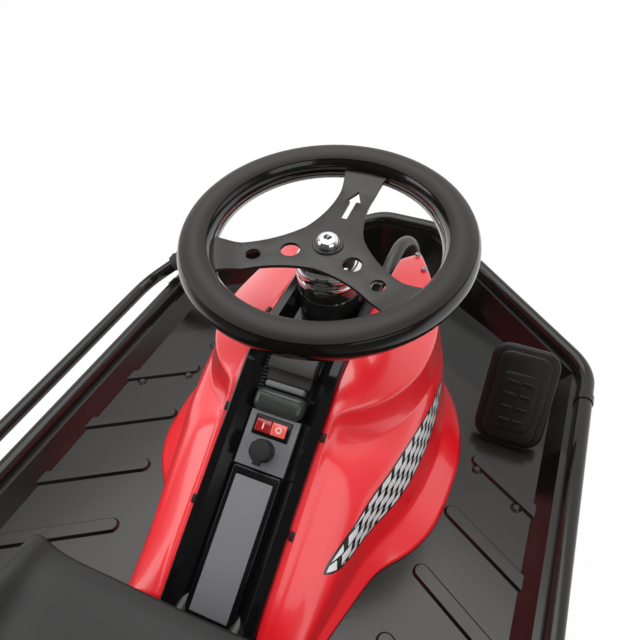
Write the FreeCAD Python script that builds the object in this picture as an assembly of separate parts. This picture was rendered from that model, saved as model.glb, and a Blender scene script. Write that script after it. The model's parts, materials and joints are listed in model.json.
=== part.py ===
"""Electric drift kart: a low steel pan kart with a steered drive wheel under the
steering wheel and two rear casters on a beam that the drift bar turns.
Millimetres. Front faces -Y, the kart's left is +X, Z is up, Z = 0 is the ground."""
import FreeCAD
import Part
import math
import os
from FreeCAD import Vector, Rotation, Placement

os.makedirs("parts", exist_ok=True)

# ---------------------------------------------------------------- driving dimensions
# steering wheel and stem; drops are measured below the rim plane, along the axis
steer_y = -162.0        # centre of the steering wheel
rim_z = 355.0           # height of the steering wheel's rim plane
rake = 7.3              # lean of the steering axis towards the driver, degrees
rim_radius = 145.0      # steering wheel, centreline of the rim
rim_tube = 19.0         # radius of the rim's section
ring_t = 8.0            # bright ring inside the rim, radially
plate_drop = 9.0        # spoke plate's top
plate_t = 4.0
spoke_corner = 40.0     # hub centre to the corner between two spokes
spoke_waist = 20.5      # half width of a spoke at its waist
spoke_waist_at = 82.0
spoke_flare = 30.0      # half width at the rim
hole_r = 11.0           # the two holes of each rear spoke
hole_at = 42.0
outer_hole_r = 8.5
outer_hole_at = 83.0
arrow_tip = 99.0        # arrow cut through the front spoke
arrow_barb = 79.0
arrow_tail = 47.0
arrow_half = 9.5
arrow_shaft = 4.0
bolt_r = 14.0
bolt_h = 9.0
washer_r = 17.0
washer_t = 2.0
hex_r = 5.5
hex_depth = 5.0
collar_r = 35.0
collar_h = 30.0
collar_gap = 8.0        # spoke plate to the collar
head_r = 32.0
head_drop = 54.0
head_h = 85.0
stem_r = 12.5
bearing_gap = 0.05      # radial gap of a shaft in its bearing
run_gap = 3.0           # end gap between a turning piece and its neighbour

# drive unit
tyre_r = 100.0
tyre_w = 50.0
tyre_crown = 3.0        # how far the tread's edges drop
drive_rim_r = 64.0
drive_web = 12.0
drive_hub_r = 22.0
web_holes = 5
web_hole_r = 11.0
fork_in = 36.0          # from the wheel's middle to a fork leg
fork_t = 6.0
fork_w = 46.0           # at the crown
fork_end = 20.0         # radius round the axle
crown_t = 8.0
axle_r = 6.0
nut_r = 10.0
nut_t = 6.0
motor_r = 36.0
motor_l = 48.0
motor_back = 20.0       # motor behind the steering axis
motor_up = 42.0         # motor above the axle
gearcase_r = 28.0
gearcase_t = 7.0
sprocket_r = 30.0
sprocket_teeth = 24
pinion_r = 11.0
chain_x = 28.5
chain_w = 4.0
chain_t = 4.0
chain_gap = 0.5

# pan and frame
floor_z = 60.0          # top of the pan floor
sheet = 2.0
rail_r = 11.0
rail_half = 329.0       # middle of the kart to a side rail's centreline
rail_z = 84.0
nose_half = 50.0
nose_ahead = 392.0      # nose rail, ahead of the steering wheel's centre
nose_z = 139.0
shoulder_ahead = 200.0
hip_behind = 330.0
tail_half = 150.0
tail_behind = 540.0
bend_r = 60.0
sleeve_l = 12.0         # sleeve over the rail's joint, behind the shoulder
sleeve_t = 1.5
sleeve_behind = 55.0
wall_run = 36.0         # the rail's centreline to the pan floor's edge
ledge_w = 7.0           # flat ledge between the pan's wall and the rail
ledge_drop = 4.0
well_r = 150.0          # round hole in the pan for the drive unit
rib_count = 5
rib_pitch = 87.0
rib_w = 24.0
rib_h = 3.5
rib_slope = 4.5         # run of a rib's sloping side
rib_angle = 32.0
rib_start = 206.0
rib_shift = 14.5        # each rib starts this much further in than the one ahead
rib_first = 1.0         # first rib, ahead of the steering wheel's centre
dimple_r = 7.0
dimple_h = 2.5
dimples = [(212, 56), (216, -13), (272, -50)]   # out from the middle, ahead

# front strut and arch tubes
strut_r = 11.0
strut_half = 40.0       # a leg's place at its front bend
strut_in = 25.0         # and at the head tube
strut_drop = 40.0       # strut's upper end below the top of the head tube
strut_knee = 165.0      # slight bend, ahead of the steering wheel's centre
strut_knee_z = 190.0
strut_ahead = 210.0     # front bend
strut_z = 172.0
strut_foot = 226.0
strut_bend = 24.0
foot_plate = 46.0
gusset_l = 34.0
bracket_t = 4.0
arch_half = 32.0
arch_r = 9.0
arch_low = 88.0
arch_gap = 2.0          # under the console channel
arch_bend = 80.0
arch_front = 15.0       # arch's front end, beside the head tube

# console: a formed channel, level beside the head tube and then sloping down
console_half = 54.0
console_slope = 35.0
console_rise = 5.0      # slope of the level part
console_bend = 95.0     # bend, behind the steering wheel's centre
console_top = 200.0     # height above the pan floor at the bend
console_l = 290.0       # sloping part
console_front = 45.0    # front end, ahead of the steering wheel's centre
console_bend_r = 60.0
channel_d = 24.0
channel_edge = 2.0
channel_flat = 11.0     # flat top of a flange
channel_well = 13.0     # depth of the recess
recess_half = 29.0
skin = 3.0
panel_gap = 0.5
panel_t = 5.0
cover_l = 42.0          # cover's level part, ahead of the bend
cover_to = 18.0
cover_h = 6.0           # above the panels
slot_l = 13.0
ridge_l = 9.0
ridge_h = 7.0
roll_l = 25.0
roll_h = 11.0
switch_l = 60.0
rocker_w = 36.0
rocker_l = 15.0
rocker_down = 7.0
rocker_depth = 4.0
bezel = 2.5
knob_down = 40.0
knob_r = 12.5
knob_base_r = 10.0
knob_h = 17.0
knob_notches = 8
notch_r = 2.0
knob_nose = 7.0         # width of the pointer
nose_out = 3.0
pad_gap = 10.0
pad_half = 22.0

# hood
dome_ahead = -8.0       # middle of the dome
# profile of the dome, outwards and above the pan floor: top, crest, waist, flare, foot
dome_profile = [(54, 207), (130, 168), (146, 110), (163, 48), (197, 6)]
foot_h = 6.0
hood_drop = 10.0        # hood's edge below the console's face
hood_skin = 3.0
# behind the dome: distance behind, then crest, wall and foot
hood_rear = [(50, (128, 110), (158, 48), (190, 6)), (120, (126, 106), (150, 44), (166, 6)),
             (190, (120, 89), (132, 38), (140, 6)), (250, (112, 70), (119, 28), (124, 6)),
             (325, (100, 34), (104, 16), (107, 6))]
# ahead of the dome: distance ahead, then inner edge, crest, waist, flare and foot
hood_horn = [(60, (54, 202), (125, 160), (141, 108), (158, 50), (188, 6)),
             (134, (54, 188), (92, 150), (110, 104), (124, 52), (136, 6)),
             (215, (54, 150), (57, 148), (60, 141), (62, 134), (63, 127))]

# pedal: a tread pad on a deeper housing
pedal_x = 240.0         # right of the middle
pedal_w = 76.0          # pad's width at the heel
pedal_top = 63.0        # and at its upper end
pedal_l = 118.0
pedal_t = 6.0
pedal_rim = 9.0         # housing's edge round the pad
pedal_depth = 18.0
pedal_ahead = 36.0
pedal_lean = 50.0
pedal_round = 16.0
heel_rise = 16.0
tread_rows = 4
tread_pitch = 18.0
tread_w = 4.0
base_l = 26.0
base_h = 8.0

# rear: beam, drift bar, casters
beam_gap = 45.0         # tail rail to the beam
beam_z = 112.0
beam_r = 14.0
beam_half = 245.0
bearing_x = 110.0
bearing_w = 40.0
bearing_t = 8.0
bar_r = 10.0
bar_out = 49.0          # side rail to the drift bar
bar_z = 84.0
bar_lead = 65.0         # foot of its drop from the beam, ahead of the tail rail
bar_bend = 40.0
bar_ramp_bend = 60.0
bar_front = 128.0       # where the bar bends in, ahead of the steering wheel's centre
grip_ahead = 50.0
grip_rise = 66.0
grip_in = 84.0
grip_l = 62.0
grip_t = 4.0
grip_ridges = 5
grip_ridge = 1.5
grip_ridge_w = 4.0
grip_pitch = 11.0
caster_in = 40.0        # from the beam's end to a caster
caster_tilt = 20.0
caster_back = 34.0      # swivel pin behind the beam
caster_drop = 62.0      # swivel plate down to the wheel's centre, along the pin
caster_trail = 22.0
caster_r = 32.0
caster_w = 24.0
caster_gap = 3.0        # wheel to fork leg, and plate to fork
caster_t = 3.0
caster_axle_r = 4.0
caster_pin_r = 6.0
caster_hub_r = 14.0
caster_chamfer = 4.0
mount_half = 26.0
mount_t = 6.0

# seat and battery
seat_half = 165.0
seat_lead = 195.0       # seat's front edge, ahead of the tail rail
seat_z = 158.0
seat_t = 5.0
seat_edge = 14.0
seat_flat = 115.0       # half width of the seat's flat middle
# seat's middle line from front to top: behind, up and the height of its side wings
seat_spine = [(0, 0, 8), (60, -6, 20), (150, -4, 40), (225, 10, 62), (262, 60, 70), (285, 150, 62),
              (305, 250, 48), (320, 330, 30)]
riser_in = 97.0
riser_w = 18.0
riser_t = 3.0
riser_l = 90.0
riser_hole = 16.0
riser_behind = 60.0
battery_gap = 8.0
battery_l = 142.0
battery_w = 190.0
battery_h = 44.0

# flag socket
flag_at = 0.72          # place along the diagonal rail, from the hip to the tail
socket_t = 2.5
socket_bore = 6.5
socket_h = 60.0
socket_floor = 5.0


# ---------------------------------------------------------------- helpers
def ahead(distance):
    """Y of a place this far ahead of the steering wheel's centre."""
    return steer_y - distance


def box(x0, x1, y0, y1, z0, z1):
    return Part.makeBox(x1 - x0, y1 - y0, z1 - z0, Vector(x0, y0, z0))


def rod(start, end, radius):
    start, end = Vector(*start), Vector(*end)
    return Part.makeCylinder(radius, (end - start).Length, start, end - start)


def across(x0, x1, y, z, radius):
    """A bar along X."""
    return Part.makeCylinder(radius, x1 - x0, Vector(x0, y, z), Vector(1, 0, 0))


def polygon(points):
    points = [Vector(*p) for p in points]
    return Part.makePolygon(points + points[:1])


def prism(points, direction):
    return Part.Face(polygon(points)).extrude(Vector(*direction))


def bent_wire(points, radii, closed=False):
    """Straight runs joined by tangent arcs, one radius for each inner corner."""
    points = [Vector(*p) for p in points]
    count = len(points)
    corners = range(count) if closed else range(1, count - 1)
    cut = {}
    for i in corners:
        here = points[i]
        back = (points[i - 1] - here).normalize()
        on = (points[(i + 1) % count] - here).normalize()
        half = back.getAngle(on) / 2
        reach = radii[i] / math.tan(half)
        middle = (back + on).normalize()
        centre = here + middle * (radii[i] / math.sin(half))
        cut[i] = (here + back * reach, centre - middle * radii[i], here + on * reach)
    edges = []
    last = count if closed else count - 1
    for i in range(last):
        j = (i + 1) % count
        start = cut[i][2] if i in cut else points[i]
        end = cut[j][0] if j in cut else points[j]
        edges.append(Part.makeLine(start, end))
        if j in cut:
            edges.append(Part.Arc(*cut[j]).toShape())
    return Part.Wire(edges)


def rounded_plate(points, radii, thickness):
    """Flat plate with rounded corners, from (x, y) points, its underside at Z = 0."""
    outline = bent_wire([(x, y, 0) for x, y in points], radii, closed=True)
    return Part.Face(outline).extrude(Vector(0, 0, thickness))


def tube(points, radii, radius, closed=False):
    """A round bar along a bent line."""
    path = bent_wire(points, radii, closed)
    first = path.OrderedEdges[0]
    start = first.valueAt(first.FirstParameter)
    along = first.tangentAt(first.FirstParameter)
    ring = Part.Wire(Part.makeCircle(radius, start, along))
    return path.makePipeShell([ring], True, True)


def fused(shapes):
    result = shapes[0]
    for shape in shapes[1:]:
        result = result.fuse(shape)
    return result.removeSplitter()


def lathe(points, angle=360):
    """Solid turned about Z from (radius, height) points."""
    face = Part.Face(polygon([(r, 0, z) for r, z in points]))
    return face.revolve(Vector(0, 0, 0), Vector(0, 0, 1), angle)


def turned_wheel(points):
    """Wheel turned about the X axis from (radius, x) points."""
    face = Part.Face(polygon([(x, r, 0) for r, x in points]))
    return face.revolve(Vector(0, 0, 0), Vector(1, 0, 0), 360)


def mirrored(shape):
    return shape.mirror(Vector(0, 0, 0), Vector(1, 0, 0))


def largest(shape):
    return max(shape.Solids, key=lambda s: s.Volume)


pieces = {}


def keep(name, shape):
    """Take a finished piece into the kart, under its node's name."""
    pieces[name] = shape.Solids[0] if len(shape.Solids) == 1 else shape


# ---------------------------------------------------------------- steering axis
lean = math.radians(rake)


def axis_point(down):
    """A point on the steering axis, this far below the rim plane along the axis."""
    return Vector(0, steer_y - down * math.sin(lean), rim_z - down * math.cos(lean))


def steered(shape):
    """From the steering wheel's own axes, Z along its stem, to the kart's."""
    shape = shape.copy()
    shape.Placement = Placement(Vector(0, steer_y, rim_z),
                                Rotation(Vector(1, 0, 0), -rake)).multiply(shape.Placement)
    return shape


# ---------------------------------------------------------------- frame and pan
rail_points = [
    (nose_half, ahead(nose_ahead), nose_z),
    (rail_half, ahead(shoulder_ahead), rail_z),
    (rail_half, ahead(-hip_behind), rail_z),
    (tail_half, ahead(-tail_behind), rail_z),
    (-tail_half, ahead(-tail_behind), rail_z),
    (-rail_half, ahead(-hip_behind), rail_z),
    (-rail_half, ahead(shoulder_ahead), rail_z),
    (-nose_half, ahead(nose_ahead), nose_z),
]


def inset(points, distance):
    """The plan outline moved inwards, corner by corner; points run anticlockwise."""
    moved = []
    count = len(points)
    for i in range(count):
        x, y = points[i][:2]
        xa, ya = points[i - 1][:2]
        xb, yb = points[(i + 1) % count][:2]
        la, lb = math.hypot(x - xa, y - ya), math.hypot(xb - x, yb - y)
        na = (-(y - ya) / la, (x - xa) / la)
        nb = (-(yb - y) / lb, (xb - x) / lb)
        scale = distance / (1 + na[0] * nb[0] + na[1] * nb[1])
        moved.append((x + (na[0] + nb[0]) * scale, y + (na[1] + nb[1]) * scale))
    return moved


def ringed(rings, caps):
    """Closed solid: ruled sides between outlines of as many points, and flat end caps."""
    count = len(rings[0])
    faces = [Part.Face(Part.makePolygon(cap + cap[:1])) for cap in caps]
    for low, top in zip(rings, rings[1:]):
        for i in range(count):
            j = (i + 1) % count
            below, above = Part.makeLine(low[i], low[j]), Part.makeLine(top[i], top[j])
            faces.append(Part.makeRuledSurface(below, above))
    shell = Part.makeShell(faces)
    shell.sewShape()
    solid = Part.makeSolid(shell)
    if solid.Volume < 0:
        solid.reverse()
    return solid


def dish(floor_inset, level, steps):
    """Closed solid from the floor's outline up past the rails. Each step is an inset and a
    rise from the rail's centreline."""
    rings = [[Vector(x, y, level) for x, y in inset(rail_points, floor_inset)]]
    for distance, rise in steps:
        rings.append([Vector(x, y, rail_points[i][2] + rise)
                      for i, (x, y) in enumerate(inset(rail_points, distance))])
    top = rings[-1]
    return ringed(rings, [rings[0], top[1:-1], [top[0], top[1], top[-2], top[-1]]])


def rib(distance, inner, width, z0, z1):
    """A pressed ridge with sloping sides and a round inner end, running outwards and rearwards."""
    outlines = []
    for half, z in ((width / 2, z0), (width / 2 - rib_slope, z1)):
        start, end = Vector(0, -half, z), Vector(0, half, z)
        outlines.append(Part.Wire([Part.makeLine(Vector(rail_half, -half, z), start),
                                   Part.Arc(start, Vector(-half, 0, z), end).toShape(),
                                   Part.makeLine(end, Vector(rail_half, half, z)),
                                   Part.makeLine(Vector(rail_half, half, z), Vector(rail_half, -half, z))]))
    shape = Part.makeLoft(outlines, True, True)
    reach = rib_w / 2 * math.cos(math.radians(rib_angle))
    shape.Placement = Placement(Vector(inner + reach, ahead(distance), 0),
                                Rotation(Vector(0, 0, 1), rib_angle))
    return shape


def sleeve(side):
    """Weld sleeve round a side rail's joint."""
    y = ahead(shoulder_ahead - sleeve_behind)
    start = (side * rail_half, y, rail_z)
    return rod(start, (side * rail_half, y + sleeve_l, rail_z), rail_r + sleeve_t)


rails = tube(rail_points, [bend_r] * len(rail_points), rail_r, closed=True)
perimeter = fused([rails, sleeve(1), sleeve(-1)])
keep("frame_perimeter", perimeter)


def well_y():
    """Y of the steering axis at the pan's floor."""
    return steer_y - (rim_z - floor_z) * math.tan(lean)


def pan():
    """The left half of the pan: floor, leaning wall, ledge under the rail, ribs and dimples."""
    ledge_out = math.sqrt(rail_r ** 2 - ledge_drop ** 2) - sheet
    ledge_in = ledge_out + sheet + ledge_w
    underside = -ledge_drop - sheet
    outer = dish(wall_run, floor_z - sheet, [(ledge_in, underside), (ledge_out, underside), (ledge_out, 0)])
    inner = dish(wall_run + sheet, floor_z, [(ledge_in + sheet, -ledge_drop), (0, -ledge_drop), (0, sheet)])
    shell = outer.cut(inner)
    inside = dish(wall_run + sheet / 2, floor_z - sheet, [(ledge_in + sheet / 2, 0)])
    under = dish(wall_run + 3 * sheet, floor_z - 2 * sheet, [(ledge_in + 3 * sheet, 0)])
    half = shell.common(box(0, 2 * rail_half, ahead(nose_ahead), ahead(-tail_behind), 0, rim_z))
    grooves = []
    for i in range(rib_count):
        at, inner_end = rib_first - i * rib_pitch, rib_start - i * rib_shift
        half = half.fuse(rib(at, inner_end, rib_w, floor_z - sheet, floor_z + rib_h).common(inside))
        grooves.append(rib(at, inner_end, rib_w - 2 * sheet, floor_z - 2 * sheet, floor_z + rib_h - sheet))
    for groove in grooves:
        half = half.cut(groove.common(under))
    for x, at in dimples:
        half = half.fuse(Part.makeCone(dimple_r, dimple_r / 2, dimple_h, Vector(x, ahead(at), floor_z)))
    well = Part.makeCylinder(well_r, rim_z, Vector(0, well_y(), 0))
    return largest(half.cut(well).cut(perimeter).removeSplitter())


pan_left = pan()

# ---------------------------------------------------------------- steering wheel and stem
rim = Part.makeTorus(rim_radius, rim_tube)
keep("steering_rim", steered(rim))

rim_inner = rim_radius - rim_tube
ring_in = rim_inner - ring_t / 2
ring = lathe([(rim_inner + ring_t, 0), (rim_inner + ring_t, -plate_drop), (ring_in, -plate_drop),
              (ring_in, 1 - plate_drop), (rim_inner, 0)]).cut(rim)
keep("rim_ring", steered(ring))

plate_low = -plate_drop - plate_t
plate_out = rim_inner + ring_t


def spoke_side():
    """One side of a spoke, from the corner between two spokes out to the rim."""
    corner = (spoke_corner / 2, spoke_corner * math.sin(math.radians(60)))
    return [corner, (spoke_waist_at, spoke_waist), (plate_out, spoke_flare)]


def spoke(angle):
    """One flat spoke: each side is a concave arc."""
    a, b, c = [Vector(x, y, 0) for x, y in spoke_side()]
    low = [Vector(v.x, -v.y, 0) for v in (a, b, c)]
    hub = Vector(0, 0, 0)
    outline = Part.Wire([Part.makeLine(hub, a), Part.Arc(a, b, c).toShape(), Part.makeLine(c, low[2]),
                         Part.Arc(low[2], low[1], low[0]).toShape(), Part.makeLine(low[0], hub)])
    shape = Part.Face(outline).extrude(Vector(0, 0, plate_t))
    shape.Placement = Placement(Vector(0, 0, plate_low), Rotation(Vector(0, 0, 1), angle))
    return shape


def spoke_hole(angle, at, radius):
    place = Rotation(Vector(0, 0, 1), angle).multVec(Vector(at, 0, 2 * plate_low))
    return Part.makeCylinder(radius, 8 * plate_t, place)


plate = fused([spoke(a) for a in (-90, 30, 150)])
arrow = prism([(arrow_shaft, -arrow_tail, 2 * plate_low), (arrow_shaft, -arrow_barb, 2 * plate_low),
               (arrow_half, -arrow_barb, 2 * plate_low), (0, -arrow_tip, 2 * plate_low),
               (-arrow_half, -arrow_barb, 2 * plate_low), (-arrow_shaft, -arrow_barb, 2 * plate_low),
               (-arrow_shaft, -arrow_tail, 2 * plate_low)], (0, 0, 8 * plate_t))
for angle in (30, 150):
    plate = plate.cut(spoke_hole(angle, hole_at, hole_r)).cut(spoke_hole(angle, outer_hole_at, outer_hole_r))
plate = plate.cut(arrow).common(Part.makeCylinder(plate_out, 4 * plate_drop, Vector(0, 0, -2 * plate_drop)))
keep("spoke_plate", steered(largest(plate.cut(rim).cut(ring))))

washer_top = -plate_drop + washer_t
bolt = lathe([(0, -plate_drop), (washer_r, -plate_drop), (washer_r, washer_top), (bolt_r, washer_top),
              (bolt_r, washer_top + bolt_h / 3), (bolt_r * 0.8, washer_top + bolt_h * 0.8),
              (bolt_r * 0.5, washer_top + bolt_h), (0, washer_top + bolt_h)])
hexagon = [(hex_r * math.cos(math.radians(a)), hex_r * math.sin(math.radians(a)),
            washer_top + bolt_h - hex_depth) for a in range(0, 360, 60)]
keep("hub_bolt", steered(bolt.cut(prism(hexagon, (0, 0, bolt_h)))))

collar_top = -plate_low + collar_gap
shoulder = collar_r * 0.25
collar = lathe([(stem_r, -collar_top), (collar_r - shoulder, -collar_top),
                (collar_r - shoulder * 0.3, -collar_top - shoulder * 0.3), (collar_r, -collar_top - shoulder),
                (collar_r, -collar_top - collar_h * 0.6), (collar_r - 2, -collar_top - collar_h * 0.65),
                (collar_r - 2, -collar_top - collar_h * 0.75), (collar_r, -collar_top - collar_h * 0.8),
                (collar_r, -collar_top - collar_h), (stem_r, -collar_top - collar_h)])
keep("steering_collar", steered(collar))

head_bottom = head_drop + head_h
crown_top = head_bottom + run_gap
stem = Part.makeCylinder(stem_r, crown_top + plate_low, Vector(0, 0, -crown_top))
keep("steering_stem", steered(stem))

head_post = Part.makeCylinder(head_r, head_h, Vector(0, 0, -head_bottom))
head_solid = steered(head_post)
bore = Part.makeCylinder(stem_r + bearing_gap, 2 * head_bottom, Vector(0, 0, -2 * head_bottom))
keep("head_tube", steered(head_post.cut(bore)))

# ---------------------------------------------------------------- drive unit
axle_down = (rim_z - tyre_r) / math.cos(lean)
fork_out = fork_in + fork_t
leg = prism([(fork_in, -fork_w / 2, -crown_top - crown_t), (fork_in, fork_w / 2, -crown_top - crown_t),
             (fork_in, fork_end, -axle_down), (fork_in, -fork_end, -axle_down)], (fork_t, 0, 0))
leg = leg.fuse(across(fork_in, fork_out, 0, -axle_down, fork_end))
crown = box(-fork_out, fork_out, -fork_w / 2, fork_w / 2, -crown_top - crown_t, -crown_top)
fork = fused([crown, leg, mirrored(leg)]).cut(across(-fork_out, fork_out, 0, -axle_down, axle_r))

nut = across(fork_out, fork_out + nut_t, 0, -axle_down, nut_r)
axle_end = fork_out + nut_t + 2
axle = fused([across(-axle_end, axle_end, 0, -axle_down, axle_r), nut, mirrored(nut)])
keep("drive_axle", steered(axle))

motor_down = axle_down - motor_up
motor_from = fork_out + gearcase_t
motor = fused([across(motor_from, motor_from + motor_l, motor_back, -motor_down, motor_r),
               across(fork_out, motor_from, motor_back, -motor_down, gearcase_r),
               across(chain_x, fork_out, motor_back, -motor_down, pinion_r)])
motor = motor.cut(across(fork_out, motor_from + motor_l, 0, -axle_down, nut_r + 1))
keep("drive_motor", steered(motor))
keep("drive_fork", steered(fork.cut(motor)))


def loop(radius_a, radius_b, start, width):
    """Solid belt outline round the sprocket and the pinion."""
    span = math.hypot(motor_back, motor_up)
    tilt = math.acos((radius_a - radius_b) / span)
    base = math.atan2(motor_up, motor_back)
    corners = []
    for angle in (base + tilt, base - tilt):
        c, d = math.cos(angle), math.sin(angle)
        corners.append(((radius_a * c, radius_a * d), (motor_back + radius_b * c, motor_up + radius_b * d)))
    points = [corners[0][0], corners[0][1], corners[1][1], corners[1][0]]
    web = prism([(start, y, z - axle_down) for y, z in points], (width, 0, 0))
    ends = [across(start, start + width, 0, -axle_down, radius_a),
            across(start, start + width, motor_back, -motor_down, radius_b)]
    return fused([web] + ends)


belt_a, belt_b = sprocket_r + chain_gap, pinion_r
chain = loop(belt_a + chain_t, belt_b + chain_t, chain_x, chain_w)
chain = chain.cut(loop(belt_a, belt_b, chain_x, chain_w))
keep("drive_chain", steered(chain.cut(motor)))

half = tyre_w / 2
tyre = turned_wheel([(drive_rim_r, -half * 0.76), (drive_rim_r + 10, -half), (tyre_r - 18, -half * 1.02),
                     (tyre_r - 7, -half * 0.9), (tyre_r - tyre_crown, -half * 0.66), (tyre_r, 0),
                     (tyre_r - tyre_crown, half * 0.66), (tyre_r - 7, half * 0.9), (tyre_r - 18, half * 1.02),
                     (drive_rim_r + 10, half), (drive_rim_r, half * 0.76)])
lip, web, hub_x = drive_rim_r - 8, drive_web / 2, fork_in - run_gap
drive_rim = turned_wheel([(axle_r + bearing_gap, -hub_x), (drive_hub_r, -hub_x), (drive_hub_r, -web),
                          (lip, -web), (lip, -half * 0.76), (drive_rim_r, -half * 0.76),
                          (drive_rim_r, half * 0.76), (lip, half * 0.76), (lip, web), (drive_hub_r, web),
                          (drive_hub_r, hub_x), (axle_r + bearing_gap, hub_x)])
middle_r = (lip + drive_hub_r) / 2
for i in range(web_holes):
    turn = math.radians(i * 360 / web_holes)
    drive_rim = drive_rim.cut(across(-2 * web, 2 * web, middle_r * math.cos(turn), middle_r * math.sin(turn),
                                     web_hole_r))
sprocket = across(chain_x, chain_x + chain_w, 0, 0, sprocket_r)
bite = 2 * math.pi * sprocket_r / sprocket_teeth / 4
for i in range(sprocket_teeth):
    turn = 2 * math.pi * i / sprocket_teeth
    sprocket = sprocket.cut(across(chain_x, chain_x + chain_w, sprocket_r * math.cos(turn),
                                   sprocket_r * math.sin(turn), bite))
drive_rim = largest(drive_rim.cut(across(chain_x, hub_x, 0, 0, sprocket_r)))
sprocket = sprocket.cut(across(chain_x, chain_x + chain_w, 0, 0, axle_r + bearing_gap))
for name, shape in (("drive_sprocket", sprocket), ("drive_tyre", tyre), ("drive_rim", drive_rim)):
    shape.Placement = Placement(Vector(0, 0, -axle_down), Rotation())
    keep(name, steered(shape))

# ---------------------------------------------------------------- console's line
slope, rise = math.radians(console_slope), math.radians(console_rise)
bend_z = floor_z + console_top


def console_z(distance):
    """Height of the console's face, this far ahead of the steering wheel's centre."""
    run = distance + console_bend
    return bend_z + run * math.tan(rise if run > 0 else slope)


def below_console(depth):
    """Y and Z of the console's bend, this far under its face."""
    middle = (slope + rise) / 2
    reach = depth / math.cos((slope - rise) / 2)
    return ahead(-console_bend) - reach * math.sin(middle), bend_z - reach * math.cos(middle)


def on_console(shape):
    """From the console's own axes, Y down its length from the bend, Z out of it, to the kart's."""
    shape = shape.copy()
    place = Placement(Vector(0, ahead(-console_bend), bend_z), Rotation(Vector(1, 0, 0), -console_slope))
    shape.Placement = place.multiply(shape.Placement)
    return shape


# ---------------------------------------------------------------- tubes that carry the head
strut_top = axis_point(head_drop + strut_drop)
strut = tube([(strut_in, strut_top.y, strut_top.z), (strut_half, ahead(strut_knee), strut_knee_z),
              (strut_half, ahead(strut_ahead), strut_z), (strut_half, ahead(strut_foot), floor_z)],
             [0, 2 * strut_bend, strut_bend, 0], strut_r)
foot = box(strut_half - foot_plate / 2, strut_half + foot_plate / 2, ahead(strut_foot) - foot_plate / 2,
           ahead(strut_foot) + foot_plate / 2, floor_z, floor_z + bracket_t)
gusset_z = strut_z - strut_r / 2
gusset = box(-strut_half, strut_half, ahead(strut_ahead), ahead(strut_ahead) + gusset_l,
             gusset_z, gusset_z + bracket_t)
leg = strut.fuse(foot)
below_floor = box(-rail_half, rail_half, ahead(nose_ahead), steer_y, 0, floor_z)
strut = largest(fused([leg, mirrored(leg), gusset]).cut(head_solid).cut(below_floor))
keep("front_strut", strut)

arch_depth = channel_d + arch_gap + arch_r
arch_y, arch_z = below_console(arch_depth)
arch_flat_y = arch_y + (arch_z - arch_low) / math.tan(slope)
arch_head_y = ahead(arch_front)
arch = tube([(arch_half, arch_head_y, arch_z + (arch_y - arch_head_y) * math.tan(rise)),
             (arch_half, arch_y, arch_z), (arch_half, arch_flat_y, arch_low),
             (arch_half, ahead(-tail_behind), rail_z)], [0, arch_bend, arch_bend, 0], arch_r)
arches = arch.fuse(mirrored(arch)).cut(perimeter).cut(head_solid)
keep("frame_arch", arches)
pan_left = largest(pan_left.cut(arches).cut(strut))
pan_right = mirrored(pan_left)
keep("pan_left", pan_left)
keep("pan_right", pan_right)

# ---------------------------------------------------------------- rear beam, drift bar, casters
beam_y = ahead(-tail_behind - beam_gap)
beam_ends = (-beam_half, beam_y, beam_z), (beam_half, beam_y, beam_z)
caster_x = beam_half - caster_in
pin_z = caster_r + caster_drop * math.cos(math.radians(caster_tilt))
pin_z -= caster_trail * math.sin(math.radians(caster_tilt))


def swivel(side, shape):
    """From a caster's own axes, Z up its swivel pin, to the kart's."""
    shape = shape.copy()
    place = Placement(Vector(side * caster_x, beam_y + caster_back, pin_z),
                      Rotation(Vector(1, 0, 0), caster_tilt))
    shape.Placement = place.multiply(shape.Placement)
    return shape


pad = box(-mount_half, mount_half, -mount_half - mount_t, mount_half, 0, mount_t)
pin_bore = Part.makeCylinder(caster_pin_r + bearing_gap, 10 * mount_t, Vector(0, 0, -3 * mount_t))
carriers = []
for side in (-1, 1):
    web_x = side * caster_x - mount_half * 0.75
    gusset = prism([(web_x, beam_y - beam_r, beam_z), (web_x, beam_y + beam_r, beam_z),
                    (web_x, beam_y + caster_back + beam_r, beam_z - mount_t),
                    (web_x, beam_y + beam_r, pin_z + mount_t)], (mount_half * 1.5, 0, 0))
    carriers.append(swivel(side, pad).fuse(gusset).cut(swivel(side, pin_bore)))
keep("caster_beam", largest(fused([rod(*beam_ends, beam_r)] + carriers)))

bar_x = rail_half + bar_out
bar_rear = ahead(-tail_behind + bar_lead)
bar_path = [(beam_half, beam_y, beam_z), (bar_x, beam_y, beam_z), (bar_x, bar_rear, bar_z),
            (bar_x, ahead(bar_front), bar_z),
            (bar_x - grip_in, ahead(bar_front + grip_ahead), bar_z + grip_rise)]
bar = tube(bar_path, [0, bar_bend, bar_ramp_bend, bar_bend, 0], bar_r)
keep("drift_bar", bar)
grip_end, grip_from = Vector(*bar_path[4]), Vector(*bar_path[3])
along = (grip_end - grip_from).normalize()
grip = Part.makeCylinder(bar_r + grip_t, grip_l, grip_end - along * (grip_l - grip_t), along)
for i in range(grip_ridges):
    ridge = Part.makeCylinder(bar_r + grip_t + grip_ridge, grip_ridge_w,
                              grip_end - along * (2 * grip_ridge_w + i * grip_pitch), along)
    grip = grip.fuse(ridge)
keep("drift_grip", grip.cut(bar).removeSplitter())

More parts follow.
